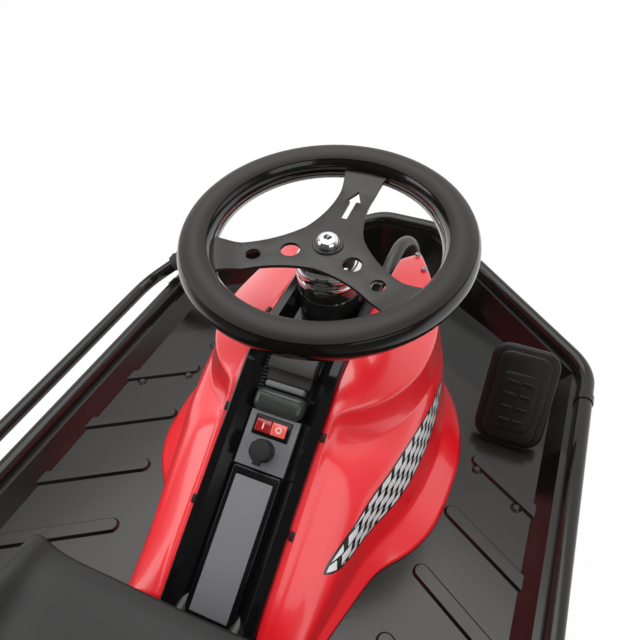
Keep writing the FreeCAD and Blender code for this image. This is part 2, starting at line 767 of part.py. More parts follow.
for side, name in ((1, "left"), (-1, "right")):
    fork_half = caster_w / 2 + caster_gap
    fork_top, fork_low = -caster_gap, -caster_gap - 2 * caster_t
    top_half = fork_half + caster_t
    top = box(-top_half, top_half, -caster_r * 0.6, caster_r * 0.75, fork_low, fork_top)
    axle_boss = caster_r * 0.28
    leg = prism([(fork_half, -axle_boss, fork_low), (fork_half, caster_r * 0.75, fork_low),
                 (fork_half, caster_trail + axle_boss, -caster_drop),
                 (fork_half, caster_trail - axle_boss, -caster_drop)], (caster_t, 0, 0))
    leg = leg.fuse(across(fork_half, fork_half + caster_t, caster_trail, -caster_drop, axle_boss))
    pin = Part.makeCylinder(caster_pin_r, mount_t - fork_low + caster_t, Vector(0, 0, fork_low))
    end = fork_half + 2 * caster_t
    spindle = across(-end, end, caster_trail, -caster_drop, caster_axle_r)
    keep("caster_fork_" + name, swivel(side, fused([top, leg, mirrored(leg), pin, spindle])))
    h = caster_w / 2
    edge = caster_r - caster_chamfer
    wheel = turned_wheel([(caster_hub_r, -h), (edge, -h), (caster_r, caster_chamfer - h),
                          (caster_r, h - caster_chamfer), (edge, h), (caster_hub_r, h)])
    hub = turned_wheel([(caster_axle_r + bearing_gap, -h - 1), (caster_hub_r, -h - 1), (caster_hub_r, h + 1),
                        (caster_axle_r + bearing_gap, h + 1)])
    for shape, label in ((wheel, "caster_tyre_"), (hub, "caster_hub_")):
        shape.Placement = Placement(Vector(0, caster_trail, -caster_drop), Rotation())
        keep(label + name, swivel(side, shape))

low, high = rail_z - rail_r / 2, beam_z + beam_r + bearing_t
blocks = [box(side * bearing_x - bearing_w / 2, side * bearing_x + bearing_w / 2, ahead(-tail_behind),
              beam_y + beam_r + bearing_t, low, high) for side in (-1, 1)]
blocks = blocks[0].fuse(blocks[1]).cut(perimeter).cut(arches).cut(rod(*beam_ends, beam_r + bearing_gap))
keep("beam_bearings", blocks)

# ---------------------------------------------------------------- console
flange_in = console_half - channel_flat
well_half = recess_half + 1
section = [(-console_half, -channel_d), (-console_half, -channel_edge), (-console_half + channel_edge, 0),
           (-flange_in, 0), (-well_half, -channel_well), (well_half, -channel_well), (flange_in, 0),
           (console_half - channel_edge, 0), (console_half, -channel_edge), (console_half, -channel_d),
           (console_half - skin, -channel_d), (console_half - skin, -skin), (flange_in + skin / 2, -skin),
           (recess_half + skin / 2, -channel_well - skin), (-recess_half - skin / 2, -channel_well - skin),
           (-flange_in - skin / 2, -skin), (-console_half + skin, -skin), (-console_half + skin, -channel_d)]
front_y = ahead(console_front)
line = [(0, front_y, console_z(console_front)), (0, ahead(-console_bend), bend_z),
        (0, ahead(-console_bend) + console_l * math.cos(slope), bend_z - console_l * math.sin(slope))]
up = Vector(0, math.sin(rise), math.cos(rise))
face = [Vector(x, 0, 0) + Vector(*line[0]) + up * z for x, z in section]
profile = Part.Wire(Part.makePolygon(face + face[:1]))
channel = bent_wire(line, [0, console_bend_r, 0]).makePipeShell([profile], True, False)
beside_head = box(-flange_in, flange_in, front_y - head_r, axis_point(head_drop).y - head_r / 4,
                  0, rim_z)
channel = largest(channel.cut(beside_head).cut(head_solid).cut(arches).cut(strut))
keep("console_channel", channel)

inlay, panel_z = -channel_well - skin / 2, -channel_well + panel_t


def inlaid(shape):
    """A piece that lies in the console's recess, in the kart's axes."""
    return largest(on_console(shape).cut(channel).cut(arches))


def panel(start, length, half, top):
    return box(-half, half, start, start + length, inlay, top)


cover_half = recess_half - 2
cover_line = [(0, ahead(-console_bend + cover_l), bend_z + cover_l * math.tan(rise)), line[1],
              (0, line[1][1] + cover_to * math.cos(slope), bend_z - cover_to * math.sin(slope))]
face = [Vector(x, 0, 0) + Vector(*cover_line[0]) + up * z
        for x, z in ((-cover_half, inlay), (-cover_half, panel_z + cover_h), (cover_half, panel_z + cover_h),
                     (cover_half, inlay))]
profile = Part.Wire(Part.makePolygon(face + face[:1]))
cover = bent_wire(cover_line, [0, console_bend_r, 0]).makePipeShell([profile], True, False)
keep("console_cover", largest(cover.cut(channel).cut(head_solid)))
ridge_y = cover_to + slot_l
roll_y = ridge_y + ridge_l
roll_end = roll_y + roll_l
ridge = panel(ridge_y, ridge_l, recess_half - 6, panel_z + ridge_h)
roll = prism([(-recess_half, roll_y, inlay), (-recess_half, roll_y, panel_z + roll_h * 0.5),
              (-recess_half, roll_y + roll_l * 0.3, panel_z + roll_h),
              (-recess_half, roll_y + roll_l * 0.7, panel_z + roll_h * 0.85),
              (-recess_half, roll_end, panel_z + 1), (-recess_half, roll_end, inlay)],
             (2 * recess_half, 0, 0))
keep("console_latch", inlaid(ridge.fuse(roll).removeSplitter()))

switch_y = roll_end + panel_gap
rocker_y = switch_y + rocker_down
rocker_low = panel_z - rocker_depth
well = box(-rocker_w / 2, rocker_w / 2, rocker_y, rocker_y + rocker_l, rocker_low, panel_z + 2 * bezel)
frame = box(-rocker_w / 2 - bezel, rocker_w / 2 + bezel, rocker_y - bezel, rocker_y + rocker_l + bezel,
            panel_z, panel_z + bezel / 2)
keep("switch_panel", inlaid(fused([panel(switch_y, switch_l, recess_half, panel_z), frame]).cut(well)))
half = rocker_w / 2 - panel_gap
rocker = prism([(-half, rocker_y + panel_gap, rocker_low), (half, rocker_y + panel_gap, rocker_low),
                (half, rocker_y + panel_gap, panel_z), (0, rocker_y + panel_gap, panel_z + bezel / 2),
                (-half, rocker_y + panel_gap, panel_z + bezel * 1.5)], (0, rocker_l - 2 * panel_gap, 0))
keep("rocker_switch", on_console(rocker))
knob = lathe([(0, 0), (knob_base_r, 0), (knob_base_r, 2), (knob_r, 3), (knob_r, knob_h - 2),
              (knob_r - 2, knob_h), (0, knob_h)])
notch_at = knob_r + notch_r / 2
for i in range(knob_notches):
    turn = 2 * math.pi * i / knob_notches
    place = Vector(notch_at * math.cos(turn), notch_at * math.sin(turn), 2 * notch_r)
    knob = knob.cut(Part.makeCylinder(notch_r, knob_h, place))
knob = knob.fuse(box(-knob_nose / 2, knob_nose / 2, 0, knob_r + nose_out, knob_h / 2, knob_h))
knob.translate(Vector(0, switch_y + knob_down, panel_z))
keep("charge_cap", on_console(knob))
pad_y = switch_y + switch_l + pad_gap
pad_end = console_l - 2 * channel_edge
edging = panel(switch_y + switch_l + panel_gap, pad_end - switch_y - switch_l, recess_half, panel_z - 1)
edging = edging.cut(panel(pad_y, pad_end, pad_half + 1, panel_z))
pad = panel(pad_y, pad_end - pad_y, pad_half, panel_z - 2)
keep("console_pad", inlaid(fused([edging, pad, panel(pad_y, pad_end - pad_y, pad_half + 1, inlay + 2)])))


# ---------------------------------------------------------------- hood
def outline(distance, points, grow):
    """Closed outline of one side of the hood at a place along the kart. With grow below zero
    it lies that far inside and is open at its foot."""
    foot_x, foot_z = points[-1]
    low = foot_z - foot_h + (grow if grow < 0 else 0)
    side = [(0, low), (0, points[0][1] + grow)] + [(x + grow, z + grow) for x, z in points]
    side.append((foot_x + grow, low))
    return [Vector(x, ahead(distance), floor_z + z) for x, z in side]


def hood_form(grow):
    """One side of the hood as a solid: horn in front, round dome, long body behind."""
    top, foot = dome_profile[0], dome_profile[-1]
    low = foot[1] - foot_h + grow
    profile = [(0, low), (0, top[1] + grow)] + [(r + grow, z + grow) for r, z in dome_profile]
    dome = lathe(profile + [(foot[0] + grow, low)], 90)
    dome.translate(Vector(0, ahead(dome_ahead), floor_z))
    rings = [outline(dome_ahead, dome_profile, grow)]
    for at, *points in hood_horn:
        rings.append(outline(at + (grow if at == hood_horn[-1][0] else 0), points, grow))
    horn = ringed(rings, [rings[0], rings[-1]])
    rings = []
    for at, *points in [(-dome_ahead,) + tuple(hood_rear[0][1:])] + hood_rear:
        behind = at + (grow if at == hood_rear[-1][0] else 0)
        edge = (console_half, console_z(-behind) - floor_z - hood_drop)
        rings.append(outline(-behind, [edge] + points, grow))
    return horn.fuse(dome).fuse(ringed(rings, [rings[0], rings[-1]]))


hood = hood_form(0).cut(hood_form(-hood_skin))
hood = hood.cut(box(-console_half, console_half, ahead(nose_ahead), ahead(-tail_behind), 0, rim_z))
hood = largest(hood.removeSplitter())
keep("hood_left", hood)
keep("hood_right", mirrored(hood))


# ---------------------------------------------------------------- pedal
def on_pedal(shape):
    """From the pedal's own axes, -Y up its face from the heel, Z out of it, to the kart's."""
    shape = shape.copy()
    place = Placement(Vector(-pedal_x, ahead(pedal_ahead), floor_z + heel_rise),
                      Rotation(Vector(1, 0, 0), -pedal_lean))
    shape.Placement = place.multiply(shape.Placement)
    return shape


def pedal_outline(edge):
    top, heel = pedal_top / 2 + edge, pedal_w / 2 + edge
    return [(-top, -pedal_l - edge), (top, -pedal_l - edge), (heel, 0), (-heel, 0)]


corners = [pedal_round, pedal_round, pedal_round / 2, pedal_round / 2]
housing = rounded_plate(pedal_outline(pedal_rim), [r + pedal_rim for r in corners], pedal_depth)
housing.translate(Vector(0, 0, -pedal_depth))
pedal = housing.fuse(rounded_plate(pedal_outline(0), corners, pedal_t))
for i in range(tread_rows):
    y = -pedal_l + (i + 1.5) * tread_pitch
    for side in (-1, 1):
        middle = side * pedal_top * 0.22
        pedal = pedal.cut(box(middle - pedal_top * 0.16, middle + pedal_top * 0.16, y, y + tread_w,
                              pedal_t * 0.6, 2 * pedal_t))
pedal = on_pedal(pedal.removeSplitter())
keep("throttle_pedal", pedal)
base_half = pedal_w * 0.45
base = box(-pedal_x - base_half, -pedal_x + base_half, ahead(pedal_ahead + base_l / 2),
           ahead(pedal_ahead) + base_l, floor_z, floor_z + base_h)
barrel = across(-pedal_x - base_half, -pedal_x + base_half, ahead(pedal_ahead) + base_h,
                floor_z + base_h, base_h)
keep("pedal_base", largest(fused([base, barrel]).cut(pedal).cut(pan_right)))

# ---------------------------------------------------------------- seat and battery
tail_inner = ahead(-tail_behind) - rail_r
battery_end = tail_inner - battery_gap
battery_z = arch_low + arch_r / 2
battery = box(-battery_w / 2, battery_w / 2, battery_end - battery_l, battery_end, battery_z,
              battery_z + battery_h)
keep("battery_box", largest(battery.cut(arches)))

seat_y = ahead(-tail_behind + seat_lead)


def seat_section(i):
    """The seat's shell across its middle line at one of the line's points."""
    y, z, wing = seat_spine[i]
    ya, za, _ = seat_spine[max(i - 1, 0)]
    yb, zb, _ = seat_spine[min(i + 1, len(seat_spine) - 1)]
    length = math.hypot(yb - ya, zb - za)
    ny, nz = -(zb - za) / length, (yb - ya) / length
    outside = [(-seat_half, wing), (-seat_half + seat_edge, wing * 0.35), (-seat_flat, 0), (seat_flat, 0),
               (seat_half - seat_edge, wing * 0.35), (seat_half, wing)]
    inside = [(x - math.copysign(seat_t, x), h + seat_t) for x, h in reversed(outside)]
    return polygon([(x, seat_y + y + ny * h, seat_z + z + nz * h) for x, h in outside + inside])


seat = Part.makeLoft([seat_section(i) for i in range(len(seat_spine))], True, True)
keep("seat_shell", seat)

riser_y = seat_y + riser_behind
riser_top = seat_z - seat_t / 2
riser = box(riser_in, riser_in + riser_w, riser_y, riser_y + riser_l, floor_z, riser_top)
riser = riser.cut(box(riser_in - 1, riser_in + riser_w - riser_t, riser_y - 1, riser_y + riser_l + 1,
                      floor_z + riser_t, riser_top - 3 * riser_t))
riser = riser.cut(across(riser_in, riser_in + 2 * riser_w, riser_y + riser_l / 2, (floor_z + riser_top) / 2,
                         riser_hole))
riser = largest(riser.cut(seat).cut(pan_left))
keep("seat_mounts", Part.makeCompound([riser, mirrored(riser)]))

# ---------------------------------------------------------------- flag socket
socket_r = socket_bore + socket_t
side_x, side_run = rail_half - tail_half, tail_behind - hip_behind
diagonal = math.hypot(side_x, side_run)
off = rail_r + socket_r - socket_t / 2
socket_x = -(rail_half - flag_at * side_x + off * side_run / diagonal)
socket_y = ahead(-(hip_behind + flag_at * side_run + off * side_x / diagonal))
socket_z = rail_z - rail_r
socket = Part.makeCylinder(socket_r, socket_h, Vector(socket_x, socket_y, socket_z))
bore = Part.makeCylinder(socket_bore, socket_h, Vector(socket_x, socket_y, socket_z + socket_floor))
socket = socket.cut(bore)
keep("flag_socket", largest(socket.cut(perimeter)))

# ---------------------------------------------------------------- origin and export
# The origin is under the middle of the whole kart, the drift bar included, on the ground.
whole = Part.makeCompound(list(pieces.values())).optimalBoundingBox(False, False)
shift = Vector(-(whole.XMin + whole.XMax) / 2, -(whole.YMin + whole.YMax) / 2, -whole.ZMin)
print("shift", shift, "size", whole.XLength, whole.YLength, whole.ZLength)
for name, shape in pieces.items():
    shape = shape.copy()
    shape.translate(shift)
    assert shape.isValid(), name
    shape.exportStep("parts/%s.step" % name)
    print("%-22s solids %d volume %.0f" % (name, len(shape.Solids), shape.Volume))
for name, place in (("steering", Vector(0, steer_y, rim_z)), ("axle", axis_point(axle_down)),
                    ("beam", Vector(0, beam_y, beam_z)), ("flag", Vector(socket_x, socket_y, socket_z))):
    print("joint", name, place + shift)
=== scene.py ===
"""Looks of the electric drift kart, built round its CAD frame, in metres.
Front faces -Y, the kart's left is +X, and Z = 0 is the ground. The points of sections, blocks
and lines are in millimetres."""
import json
import math
import bpy
import bmesh
from mathutils import Vector, Matrix


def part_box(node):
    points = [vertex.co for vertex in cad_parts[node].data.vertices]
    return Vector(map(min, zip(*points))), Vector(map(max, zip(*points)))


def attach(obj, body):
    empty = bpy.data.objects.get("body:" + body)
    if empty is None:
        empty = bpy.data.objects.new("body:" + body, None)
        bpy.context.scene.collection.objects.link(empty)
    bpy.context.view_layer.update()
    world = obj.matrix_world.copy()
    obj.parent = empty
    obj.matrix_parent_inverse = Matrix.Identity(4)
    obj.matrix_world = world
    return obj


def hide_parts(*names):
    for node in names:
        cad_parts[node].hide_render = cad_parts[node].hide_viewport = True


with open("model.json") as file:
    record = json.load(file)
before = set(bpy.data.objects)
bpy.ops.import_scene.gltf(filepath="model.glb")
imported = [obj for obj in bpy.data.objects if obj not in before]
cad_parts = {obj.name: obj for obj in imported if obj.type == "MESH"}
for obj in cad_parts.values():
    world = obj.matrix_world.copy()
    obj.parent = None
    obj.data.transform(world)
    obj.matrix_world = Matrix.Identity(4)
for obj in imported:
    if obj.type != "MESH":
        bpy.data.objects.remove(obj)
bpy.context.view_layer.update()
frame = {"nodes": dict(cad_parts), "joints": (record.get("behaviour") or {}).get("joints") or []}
nodes = frame["nodes"]
scene = bpy.context.scene

# ---------------------------------------------------------------- camera
# Stands behind the driver's right shoulder and looks down at the steering wheel. It sees
# the front half of the kart.
camera_data = bpy.data.cameras.new("camera")
camera_data.lens = 34.9
camera_data.sensor_width = 36.0
camera_data.clip_start = 0.01
camera = bpy.data.objects.new("camera", camera_data)
scene.collection.objects.link(camera)
camera.location = (-0.2313, 0.377, 0.741)
pitch = math.radians(42.0)
heading_x, heading_y = 0.384, -0.923
look = Vector((heading_x * math.cos(pitch), heading_y * math.cos(pitch), -math.sin(pitch)))
camera.rotation_euler = look.to_track_quat("-Z", "Y").to_euler()
scene.camera = camera
scene.view_settings.view_transform = "Standard"

# ---------------------------------------------------------------- studio
# A pale seamless floor under one large soft lamp and two weaker ones at the sides. What the
# kart reflects is white paper in front of it and a softbox above, in a dim room.
def value(tree, operation, first, second=0.0):
    """Adds a Math node whose inputs are numbers or sockets, and returns its result."""
    made = tree.nodes.new("ShaderNodeMath")
    made.operation = operation
    for socket, given in zip(made.inputs, (first, second)):
        if isinstance(given, (int, float)):
            socket.default_value = given
        else:
            tree.links.new(given, socket)
    return made.outputs[0]


def ramp(tree, given, start, end, least=0.0, kind="LINEAR"):
    """Adds a ramp from its least value at the start to 1 at the end, and returns its result."""
    made = tree.nodes.new("ShaderNodeMapRange")
    made.interpolation_type = kind
    made.inputs["From Min"].default_value = start
    made.inputs["From Max"].default_value = end
    made.inputs["To Min"].default_value = least
    tree.links.new(given, made.inputs["Value"])
    return made.outputs[0]


def split(tree, given):
    """Splits a vector and returns its X, Y and Z."""
    made = tree.nodes.new("ShaderNodeSeparateXYZ")
    tree.links.new(given, made.inputs[0])
    return made.outputs


def background_seen(tree):
    """1 for rays that show the background: from the camera, a reflection or through glass."""
    ray = tree.nodes.new("ShaderNodeLightPath").outputs
    seen = value(tree, "MAXIMUM", ray["Is Camera Ray"], ray["Is Glossy Ray"])
    return value(tree, "MAXIMUM", seen, ray["Is Transmission Ray"])


soft_strength, dim_room = 0.65, 0.1
world = bpy.data.worlds.new("studio")
scene.world = world
world.use_nodes = True
tree = world.node_tree
tree.nodes.clear()
soft_light = tree.nodes.new("ShaderNodeBackground")
soft_light.inputs["Color"].default_value = (1, 1, 1, 1)
soft_light.inputs["Strength"].default_value = soft_strength
direction = split(tree, tree.nodes.new("ShaderNodeTexCoord").outputs["Generated"])
paper_in_front = ramp(tree, direction["Y"], 0.2, -0.6, dim_room, "SMOOTHSTEP")
softbox = ramp(tree, direction["Z"], 0.9, 1.0, dim_room, "SMOOTHSTEP")
lit = value(tree, "MAXIMUM", paper_in_front, softbox)
lit = value(tree, "MAXIMUM", lit, tree.nodes.new("ShaderNodeLightPath").outputs["Is Camera Ray"])
white = tree.nodes.new("ShaderNodeBackground")
white.inputs["Color"].default_value = (1, 1, 1, 1)
tree.links.new(lit, white.inputs["Strength"])
mix = tree.nodes.new("ShaderNodeMixShader")
tree.links.new(background_seen(tree), mix.inputs["Fac"])
tree.links.new(soft_light.outputs[0], mix.inputs[1])
tree.links.new(white.outputs[0], mix.inputs[2])
tree.links.new(mix.outputs[0], tree.nodes.new("ShaderNodeOutputWorld").inputs["Surface"])

floor_reach, paper_share, dim_floor = 6.0, 0.95, 0.12
bm = bmesh.new()
bmesh.ops.create_grid(bm, x_segments=1, y_segments=1, size=floor_reach)
floor_mesh = bpy.data.meshes.new("studio_floor")
bm.to_mesh(floor_mesh)
bm.free()
studio_floor = bpy.data.objects.new("studio_floor", floor_mesh)
scene.collection.objects.link(studio_floor)
floor_paper = bpy.data.materials.new("floor_paper")
floor_paper.use_nodes = True
tree = floor_paper.node_tree
tree.nodes.clear()
paper = tree.nodes.new("ShaderNodeBsdfDiffuse")
paper.inputs["Color"].default_value = (0.86, 0.86, 0.86, 1)
# reflections see the paper lit in front of the kart and dim behind it
place = split(tree, tree.nodes.new("ShaderNodeNewGeometry").outputs["Position"])
lit = value(tree, "MAXIMUM", ramp(tree, place["Y"], 0.45, -0.1, dim_floor),
            tree.nodes.new("ShaderNodeLightPath").outputs["Is Camera Ray"])
glow = tree.nodes.new("ShaderNodeEmission")
tree.links.new(lit, glow.inputs["Strength"])
mix = tree.nodes.new("ShaderNodeMixShader")
tree.links.new(value(tree, "MULTIPLY", background_seen(tree), paper_share), mix.inputs["Fac"])
tree.links.new(paper.outputs[0], mix.inputs[1])
tree.links.new(glow.outputs[0], mix.inputs[2])
tree.links.new(mix.outputs[0], tree.nodes.new("ShaderNodeOutputMaterial").inputs["Surface"])
studio_floor.data.materials.append(floor_paper)

lamps_aim = Vector((0, -0.1, 0.2))
for name, place, size, power in (("lamp_above", (0.3, -0.2, 2.2), 2.4, 40.0),
                                 ("lamp_left", (2.0, 0.6, 1.1), 1.2, 10.0),
                                 ("lamp_rear", (-1.8, 1.2, 1.6), 1.8, 12.0)):
    lamp_data = bpy.data.lights.new(name, "AREA")
    lamp_data.shape = "SQUARE"
    lamp_data.size = size
    lamp_data.energy = power
    lamp = bpy.data.objects.new(name, lamp_data)
    scene.collection.objects.link(lamp)
    lamp.location = place
    lamp.rotation_euler = (lamps_aim - Vector(place)).to_track_quat("-Z", "Y").to_euler()

# ---------------------------------------------------------------- frame and pan
# Welded steel tube and a pressed steel pan, both in gloss black stove paint with a slight
# orange peel. Dust and grey scuffs lie on the pan's floor where shoes rub it, with a painted
# sheen of the light above on the floor's upward faces. The seat's mounts, the beam, its
# bearings and the forks have the same paint.
def mixed(tree, share, first, second):
    """Adds a mix of two colours, each a value or a socket, and returns its colour."""
    made = tree.nodes.new("ShaderNodeMix")
    made.data_type = "RGBA"
    tree.links.new(share, made.inputs["Factor"])
    for socket, given in ((made.inputs[6], first), (made.inputs[7], second)):
        if isinstance(given, tuple):
            socket.default_value = (*given, 1)
        else:
            tree.links.new(given, socket)
    return made.outputs[2]


def wear_group():
    """Node group: colour, roughness and height of a used surface on Object coordinates, with
    broad patches of colour and gloss and a fine grain in its height."""
    group = bpy.data.node_groups.new("wear", "ShaderNodeTree")
    face = group.interface
    for name, kind, usual in (("Colour", "NodeSocketColor", (0.5, 0.5, 0.5, 1)),
                              ("Worn colour", "NodeSocketColor", (0.5, 0.5, 0.5, 1)),
                              ("Patch scale", "NodeSocketFloat", 12.0),
                              ("Patch amount", "NodeSocketFloat", 0.3),
                              ("Roughness", "NodeSocketFloat", 0.4),
                              ("Roughness spread", "NodeSocketFloat", 0.1),
                              ("Grain scale", "NodeSocketFloat", 900.0)):
        face.new_socket(name=name, in_out="INPUT", socket_type=kind).default_value = usual
    for name, kind in (("Colour", "NodeSocketColor"), ("Roughness", "NodeSocketFloat"),
                       ("Height", "NodeSocketFloat")):
        face.new_socket(name=name, in_out="OUTPUT", socket_type=kind)
    given = group.nodes.new("NodeGroupInput").outputs
    result = group.nodes.new("NodeGroupOutput").inputs
    place = group.nodes.new("ShaderNodeTexCoord").outputs["Object"]
    patches = group.nodes.new("ShaderNodeTexNoise")
    patches.inputs["Detail"].default_value = 6.0
    patches.inputs["Roughness"].default_value = 0.6
    grain = group.nodes.new("ShaderNodeTexNoise")
    for noise, scale in ((patches, "Patch scale"), (grain, "Grain scale")):
        group.links.new(place, noise.inputs["Vector"])
        group.links.new(given[scale], noise.inputs["Scale"])
    amount = value(group, "MULTIPLY", patches.outputs["Fac"], given["Patch amount"])
    colour = mixed(group, amount, given["Colour"], given["Worn colour"])
    centred = value(group, "SUBTRACT", patches.outputs["Fac"], 0.5)
    spread = value(group, "MULTIPLY", centred, given["Roughness spread"])
    group.links.new(colour, result["Colour"])
    group.links.new(value(group, "ADD", spread, given["Roughness"]), result["Roughness"])
    group.links.new(grain.outputs["Fac"], result["Height"])
    return group


wear = wear_group()


def add_wear(tree, colour, worn, patches):
    """Adds the wear of one colour to a material's tree, and returns its node."""
    used = tree.nodes.new("ShaderNodeGroup")
    used.node_tree = wear
    used.inputs["Colour"].default_value = (*colour, 1)
    used.inputs["Worn colour"].default_value = (*worn, 1)
    used.inputs["Patch scale"].default_value, used.inputs["Patch amount"].default_value = patches
    return used


def finish(name, colour, worn, roughness, spread=0.1, patches=(12.0, 0.3), grain=(900.0, 0.0002),
           metallic=0.0, coat=(0.0, 0.1), specular=0.5):
    """A material of one colour with its own wear: the patches' scale and amount, the grain's
    scale and height, and the coat's weight and roughness."""
    material = bpy.data.materials.new(name)
    material.use_nodes = True
    tree = material.node_tree
    shader = tree.nodes["Principled BSDF"]
    used = add_wear(tree, colour, worn, patches)
    used.inputs["Roughness"].default_value = roughness
    used.inputs["Roughness spread"].default_value = spread
    used.inputs["Grain scale"].default_value = grain[0]
    bump = tree.nodes.new("ShaderNodeBump")
    bump.inputs["Distance"].default_value = grain[1]
    bump.inputs["Strength"].default_value = 1.0
    shader.inputs["Metallic"].default_value = metallic
    shader.inputs["Coat Weight"].default_value, shader.inputs["Coat Roughness"].default_value = coat
    shader.inputs["Specular IOR Level"].default_value = specular
    tree.links.new(used.outputs["Colour"], shader.inputs["Base Color"])
    tree.links.new(used.outputs["Roughness"], shader.inputs["Roughness"])
    tree.links.new(used.outputs["Height"], bump.inputs["Height"])
    tree.links.new(bump.outputs["Normal"], shader.inputs["Normal"])
    return material


def dress(material, *names):
    """Gives CAD nodes their material."""
    for name in names:
        mesh = nodes[name].data
        mesh.materials.clear()
        mesh.materials.append(material)


# angles between faces: an edge from the first shades sharp, from the second it is rounded
shades_sharp, gets_rounded = math.radians(34), math.radians(38)
# points closer than this are one
same_point = 0.000001


def piece(name, bm, body, stands_for, *materials):
    """A finished mesh as a piece that rides on a body, in the place of CAD nodes if it has any."""
    bmesh.ops.recalc_face_normals(bm, faces=bm.faces)
    mesh = bpy.data.meshes.new(name)
    bm.to_mesh(mesh)
    bm.free()
    for material in materials:
        mesh.materials.append(material)
    mesh.polygons.foreach_set("use_smooth", [True] * len(mesh.polygons))
    mesh.set_sharp_from_angle(angle=shades_sharp)
    made = bpy.data.objects.new(name, mesh)
    scene.collection.objects.link(made)
    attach(made, body)
    if stands_for:
        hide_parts(*stands_for)


def round_edges(bm, edges, width, segments, clamped=False):
    """Rounds edges by a width in millimetres, clamped where neighbours would meet."""
    bmesh.ops.bevel(bm, geom=edges, offset=width / 1000, offset_type="OFFSET", segments=segments,
                    profile=0.5, affect="EDGES", material=-1, clamp_overlap=clamped)


def softened(node, body, material, width, segments=2):
    """A CAD node's own form with its sharp edges rounded, in the node's place."""
    bm = bmesh.new()
    bm.from_mesh(nodes[node].data)
    bmesh.ops.remove_doubles(bm, verts=bm.verts, dist=same_point)
    bmesh.ops.dissolve_limit(bm, angle_limit=math.radians(1), verts=bm.verts, edges=bm.edges)
    sharp = [e for e in bm.edges if e.is_manifold and e.calc_face_angle() > gets_rounded]
    round_edges(bm, sharp, width, segments, clamped=True)
    piece("soft_" + node, bm, body, [node], material)


frame_paint = finish("frame_paint", (0.007, 0.006, 0.005), (0.014, 0.0125, 0.011), 0.18, 0.1,
                     (9.0, 0.4), (260.0, 0.00005), specular=0.42)
pan_paint = finish("pan_paint", (0.004, 0.0035, 0.003), (0.008, 0.007, 0.006), 0.2, 0.12,
                   (7.0, 0.5), (180.0, 0.00008), specular=0.42)
rim_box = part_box("steering_rim")
wheel_centre = (rim_box[0] + rim_box[1]) / 2
# the dust and painted sheen end in front of the feet, at a line that slants back to both sides
dust_sheen_ahead, dust_sheen_slant, dust_sheen_edge = 0.242, 0.644, 0.005
tree = pan_paint.node_tree
upward = split(tree, tree.nodes.new("ShaderNodeNewGeometry").outputs["Normal"])["Z"]
place = split(tree, tree.nodes.new("ShaderNodeTexCoord").outputs["Object"])
outward = value(tree, "ABSOLUTE", value(tree, "SUBTRACT", place["X"], wheel_centre.x))
reach = value(tree, "SUBTRACT", place["Y"], value(tree, "MULTIPLY", outward, dust_sheen_slant))
dust_sheen_line = wheel_centre.y - dust_sheen_ahead
dust_sheen_region = ramp(tree, reach, dust_sheen_line - dust_sheen_edge, dust_sheen_line + dust_sheen_edge)
# the floor's upward faces behind the line get a lighter grey: dust, and painted sheen of the light above
dust_and_sheen_mask = value(tree, "MULTIPLY", ramp(tree, upward, 0.94, 0.998), dust_sheen_region)
dust_and_sheen = add_wear(tree, (0.016, 0.0148, 0.0122), (0.026, 0.0245, 0.021), (5.0, 0.6))
base = tree.nodes["Principled BSDF"].inputs["Base Color"]
tree.links.new(mixed(tree, dust_and_sheen_mask, base.links[0].from_socket, dust_and_sheen.outputs["Colour"]), base)
dress(frame_paint, "frame_perimeter", "frame_arch", "front_strut", "head_tube", "drift_bar")
dress(pan_paint, "pan_left", "pan_right")
for node, body, width in (("seat_mounts", "chassis", 1.2), ("beam_bearings", "chassis", 2.0),
                          ("drive_fork", "steering", 1.2), ("caster_beam", "rear_beam", 1.2),
                          ("caster_fork_left", "caster_left", 0.7),
                          ("caster_fork_right", "caster_right", 0.7)):
    softened(node, body, frame_paint, width)

# ---------------------------------------------------------------- steering wheel
# A foam rim moulded over steel: a matt band on top between two parting grooves, the rest
# glossy. It holds a flat painted plate with a bolt through its hub and a thin trim ring,
# above a chromed collar and a black sleeve on the head tube.
def facing(point, axis):
    """Takes a body's own Z axis along an axis at a point."""
    turn = Vector((0, 0, 1)).rotation_difference(Vector(axis)).to_matrix().to_4x4()
    return Matrix.Translation(point) @ turn


def add_turned(bm, points, steps, place, closed=True):
    """Adds a body turned about its own Z axis from (radius, height) points in millimetres."""
    before = set(bm.verts)
    ring = [bm.verts.new((r / 1000, 0, z / 1000)) for r, z in points]
    edges = [bm.edges.new(pair) for pair in zip(ring, ring[1:])]
    if closed:
        edges.append(bm.edges.new((ring[-1], ring[0])))
    bmesh.ops.spin(bm, geom=ring + edges, cent=(0, 0, 0), axis=(0, 0, 1), angle=2 * math.pi,
                   steps=steps, use_merge=True)
    made = [v for v in bm.verts if v not in before]
    bmesh.ops.remove_doubles(bm, verts=made, dist=same_point)
    made = [v for v in bm.verts if v not in before]
    bmesh.ops.transform(bm, matrix=place, verts=made)


def turned_piece(name, points, steps, place, body, stands_for, material):
    """One closed turned body as a piece, in the place of CAD nodes if it has any."""
    bm = bmesh.new()
    add_turned(bm, points, steps, place)
    piece(name, bm, body, stands_for, material)


